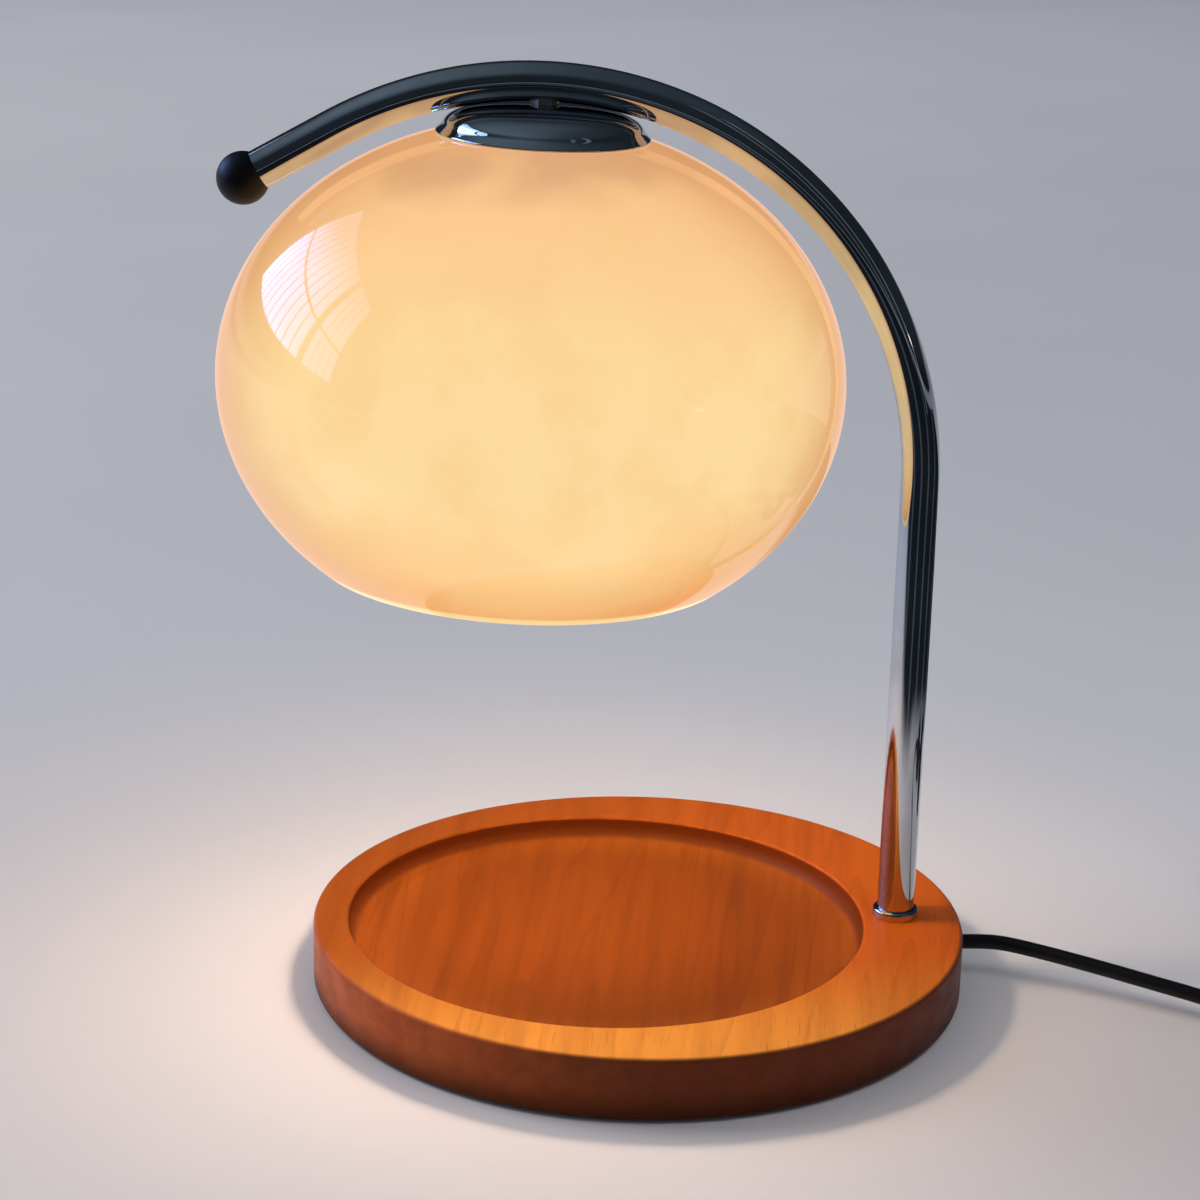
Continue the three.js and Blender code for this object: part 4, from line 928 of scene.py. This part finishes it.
def blade(name, side, node_name, sides=96):
    """Rings that run from a circle to a rectangle, over its edge and back, worked out in mm."""
    a = all_round(sides)
    circle = np.stack([np.cos(a), np.sin(a)], 1)
    hole = BLADE_HOLE * circle
    length = np.where(np.cos(a) > 0, BLADE_AHEAD, BLADE_BEHIND)
    to_end = length / np.maximum(abs(np.cos(a)), 1e-9)
    to_side = BLADE_HALF_WIDTH / np.maximum(abs(np.sin(a)), 1e-9)
    plate = np.minimum(to_end, to_side)[:, None] * circle
    wider_hole, smaller_plate = 1.06 * hole, 0.97 * plate
    levels = [(wider_hole, -BLADE_FACE), (smaller_plate, -BLADE_FACE), (plate, -BLADE_EDGE),
              (plate, BLADE_EDGE), (smaller_plate, BLADE_FACE), (wider_hole, BLADE_FACE),
              (hole, BLADE_EDGE), (hole, -BLADE_EDGE)]
    grid = np.stack([np.stack([np.full(sides, h), p[:, 0] + HOLE_AT, p[:, 1]], 1) for p, h in levels])
    return add_piece(name, PLUG_PLACE + MM * (grid + [side * BLADE_OFFSET, 0, 0]), "brass",
                     stands_for=(node_name,), ring=True, sharp=30)


blades = [blade("blade_1", -1, "plug_blade_1"), blade("blade_2", 1, "plug_blade_2")]

# %% [markdown]
# ## The lead's two stretches
# The lead leaves the base at its side and ends in the dimmer, and the rest leaves the dimmer and ends in
# the plug.

# %% [markdown]
# ## Fittings inside
# The pieces inside the shade, the post's foot and the dimmer keep their CAD shape and get their finish:
# zinc-plated steel, white ceramic, pale silicone, clear glass, a circuit board and a mirrored bulb.

# %% Finishes of the fittings
plain_finish("zinc_steel", colour(182, 184, 187), (0.28, 0.42), 160, 1200, 0.00001, Metallic=1.0)
plain_finish("white_ceramic", colour(236, 231, 220), (0.5, 0.62), 200, 1400, 0.00004)
plain_finish("silicone", colour(214, 212, 205), (0.5, 0.62), 90, 1600, 0.00002)
plain_finish("reflector_mirror", colour(232, 232, 236), (0.08, 0.14), 140, 500, 0.00003, Metallic=1.0)
plain_finish("clear_glass", colour(240, 244, 244), (0.02, 0.05), 60, Transmission_Weight=1.0, IOR=1.5)
plain_finish("circuit_board", colour(44, 96, 60), (0.35, 0.5), 300, 700, 0.00003)
for part in frame["record"]["subparts"]:
    cad = frame["nodes"][part["node"]]
    cad.data.materials.clear()
    cad.data.materials.append(FINISHES[part["material_slot"]])

# %% [markdown]
# ## Floor
# The lamp stands on a wide pale floor, a trace cooler at the back than at the front, where the trace of
# warmth is painted warm light from the bulb.

# %% Floor
FLOOR_REACH, WARM_UP_TO, COOL_FROM = 9, -0.35, 0.35
tree, shader = finish("floor_paper", Roughness=0.7)
clouds = noise(place(tree), 3, 2)
_, at = where_on_piece(tree)
cool = blended(spread(clouds, 0.3, 0.7), colour(214, 214, 219), colour(217, 217, 222))
# Painted warm light: the floor is a trace warmer towards the front.
warm_light_share = spread(at["Y"], WARM_UP_TO, COOL_FROM, 1.0, 0.0)
feed(shader, "Base Color", blended(warm_light_share, cool, colour(216, 214, 218)))


def stage_piece(name, corners, slot):
    """A piece of the stage, made of quads whose corners are listed one quad after the other."""
    corners = np.asarray(corners, float).reshape(-1, 3)
    mesh = bpy.data.meshes.new(name)
    mesh.from_pydata(corners.tolist(), [], np.arange(len(corners)).reshape(-1, 4).tolist())
    mesh.materials.append(FINISHES[slot])
    made = in_scene(name, mesh)
    print(name, len(corners) // 4, "quads")
    return made


def plane(name, low, high, height, slot):
    """A flat stage piece between two corners, at a height."""
    corners = [(low[0], low[1]), (high[0], low[1]), (high[0], high[1]), (low[0], high[1])]
    return stage_piece(name, [(x, y, height) for x, y in corners], slot)


plane("floor", (-FLOOR_REACH, -FLOOR_REACH), (FLOOR_REACH, FLOOR_REACH), 0, "floor_paper")

# %% [markdown]
# ## A dark card
# A dark card with a soft edge lies on the floor in front of the lamp and to its right. It is seen only in
# reflections, as a photographer's black card is, and gives the chrome its dark core. Lighter rays on it
# run away from the post, and the post shows them as fine upright lines.

# %% Card
RAYS, RAY_TURN = 8.4, 1.58  # the rays in a full turn, and the angle in radians that turns them
tree, shader = finish("black_felt", Roughness=0.9)
point, _ = where_on_piece(tree)
from_post = node(tree, "ShaderNodeVectorMath", {0: point, 1: (POST_X, 0, 0)},
                 operation="SUBTRACT").outputs["Vector"]
away = measure("LENGTH", from_post)
beside = node(tree, "ShaderNodeSeparateXYZ", {0: from_post}).outputs
angle = reckon("ARCTAN2", beside["Y"], beside["X"])
wave = reckon("COSINE", reckon("MULTIPLY_ADD", angle, RAYS, RAYS * RAY_TURN))
ray = spread(wave, 0.7, 1.0)
feed(shader, "Base Color", blended(ray, colour(24, 29, 33), colour(82, 96, 104)))
at_right = reckon("MULTIPLY", spread(away, 0.20, 0.30), spread(beside["X"], 0.0, 0.05))
in_front = spread(beside["Y"], -0.27, -0.17, 1.0, 0.0)
feed(shader, "Alpha", reckon("MAXIMUM", at_right, in_front))
card = plane("black_card", (-3, -4), (3, 0.45), 0.5 * MM, "black_felt")
card.visible_camera = card.visible_diffuse = card.visible_shadow = card.visible_transmission = False

# %% [markdown]
# ## Room
# What the polished pieces show is the room: dark towards the camera, pale at the back and cool grey
# overhead. Only reflected rays see that room. All others see a soft light, which is brighter from the
# back left than from the front right.

# %% Room
BACK_LEFT = (-0.6, 0.8, 0)
room = bpy.data.worlds.new("room")
room.use_nodes = True
bpy.context.scene.world = room
tree = room.node_tree
looking = node(tree, "ShaderNodeTexCoord").outputs["Generated"]
way = node(tree, "ShaderNodeSeparateXYZ", {0: looking}).outputs
wall = blended(spread(way["Y"], 0.1, 0.7), colour(22, 26, 32), colour(160, 161, 168))
ceiling = blended(spread(way["X"], -0.7, 0.5), colour(98, 114, 126), colour(48, 57, 64))
upper = blended(spread(way["Z"], 0.5, 0.9), colour(32, 39, 45), ceiling)
mirrored_room = blended(spread(way["Z"], 0.0, 0.09), wall, upper)
from_back_left = spread(measure("DOT_PRODUCT", looking, BACK_LEFT), -0.7, 0.7)
soft_light = blended(from_back_left, colour(112, 117, 126), colour(176, 181, 190))
mirrored = node(tree, "ShaderNodeLightPath").outputs["Is Glossy Ray"]
background = tree.nodes["Background"]
feed(background, "Color", blended(mirrored, soft_light, mirrored_room))
background.inputs["Strength"].default_value = 1.0
print("room:", len(tree.nodes), "nodes")

# %% [markdown]
# ## Lamps
# A window on the left draws the soft shadows to the right of the post and the base. A small soft lamp
# above the front right opens them, and a wide one keeps the far floor from going dark. Two narrow strips
# and a small lamp on the right show in the polished pieces, as fine bright lines and a highlight.


# %% Lamps
def lamp(name, at, aim, power, tint, size, shape="RECTANGLE", mirrored=False):
    """An area lamp at a point, aimed at another. A lamp that isn't mirrored doesn't show in the chrome."""
    data = bpy.data.lights.new(name, "AREA")
    data.shape, data.size, data.size_y = shape, *size
    data.energy, data.color = power, tint
    made = in_scene(name, data)
    back = unit(np.subtract(at, aim))
    side = unit(np.cross((0, 0, 1), back))
    set_pose(made, side, np.cross(back, side), back, at)
    made.visible_camera = False
    made.visible_glossy = mirrored
    return made


COOL, POST_MIDDLE, STRIP = (0.8, 0.95, 1), (0.08, 0, 0.2), (0.12, 1.6)
lamp("overhead", (0.45, -0.3, 0.75), (0.25, -0.2, 0), 1.5, (1, 0.95, 0.93), (0.5, 0.5))
lamp("window_light", (-2.6, 1.0, 2.4), (0, 0, 0.1), 52, (1, 0.98, 0.97), (1.7, 1.3))
lamp("back_light", (0, 2.7, 1.5), (0, 2.9, 0), 6, (1, 1, 1), (3, 1.2))
lamp("strip_right", (1.15, -0.75, 0.75), POST_MIDDLE, 0.09, COOL, STRIP, mirrored=True)
lamp("strip_front", (0.95, -1.25, 0.8), POST_MIDDLE, 0.06, COOL, STRIP, mirrored=True)
lamp("small_highlight", (1.43, -0.9, 0.315), (0, 0, 0.2), 0.03, (1, 0.95, 0.9), (0.10, 0.04),
     mirrored=True)
print(len(bpy.data.lights), "lamps")

# %% [markdown]
# ## Window
# What the glass shows of the window is a pattern of narrow upright panes with a bar across. So the
# window itself is a set of glowing strips that only reflections see, four apart at the near end and
# eleven beyond. Their daylight fades towards the top and towards the near end.

# %% Window
WINDOW_X, NEAR_PANE, FAR_PANE = -0.9, 0.05, 0.072
tree, shader = finish("window_panes", Emission_Strength=9.0, Roughness=1.0)
clouds = noise(place(tree), 3, 2)
_, at = where_on_piece(tree)
daylight = blended(spread(clouds, 0.35, 0.65), colour(130, 170, 250), colour(140, 180, 255))
daylight = blended(spread(at["Y"], -0.15, 0.3), colour(84, 110, 162), daylight)
fading = spread(at["Z"], 0.62, 1.15)
feed(shader, "Emission Color", blended(fading, daylight, colour(70, 86, 112)))
near_panes, far_panes = np.linspace(-0.245, -0.075, 4), np.linspace(0.03, 0.85, 11)
starts = np.concatenate([near_panes, far_panes])
ends = np.concatenate([near_panes + NEAR_PANE, far_panes + FAR_PANE])


def pane_corners(low_line, high_line):
    """Quads in the window's plane, from one slanted line to the other: height = a + b * y for each."""
    y = np.stack([starts, ends, ends, starts], 1)
    low, high = low_line[0] + low_line[1] * y[:, :2], high_line[0] + high_line[1] * y[:, 2:]
    return np.stack([np.full_like(y, WINDOW_X), y, np.hstack([low, high])], -1)


lower_panes = pane_corners((0.349, 0.137), (0.578, 0.33))
upper_panes = pane_corners((0.596, 0.33), (1.0, 0.34))
window = stage_piece("window", [lower_panes, upper_panes], "window_panes")
window.visible_camera = window.visible_diffuse = window.visible_shadow = False

# %% [markdown]
# ## Bulb
# The bulb throws warm light through the wide mouth of the shade onto the base and the floor round it. The
# base's edge stops it, so a narrow cool shadow lies along the base.

# %% Light of the bulb
bulb_front, under_bulb = hung(np.array([0, 0, 8 * MM])), hung(np.array([0, 0, -200 * MM]))
lamp("bulb_light", bulb_front, under_bulb, 0.33, (1, 0.71, 0.5), (0.04, 0.04), shape="DISK")

# %% [markdown]
# ## View
# The screen shows the colours as they are worked out, with no film look over them.

# %% View
bpy.context.scene.view_settings.view_transform = "Standard"
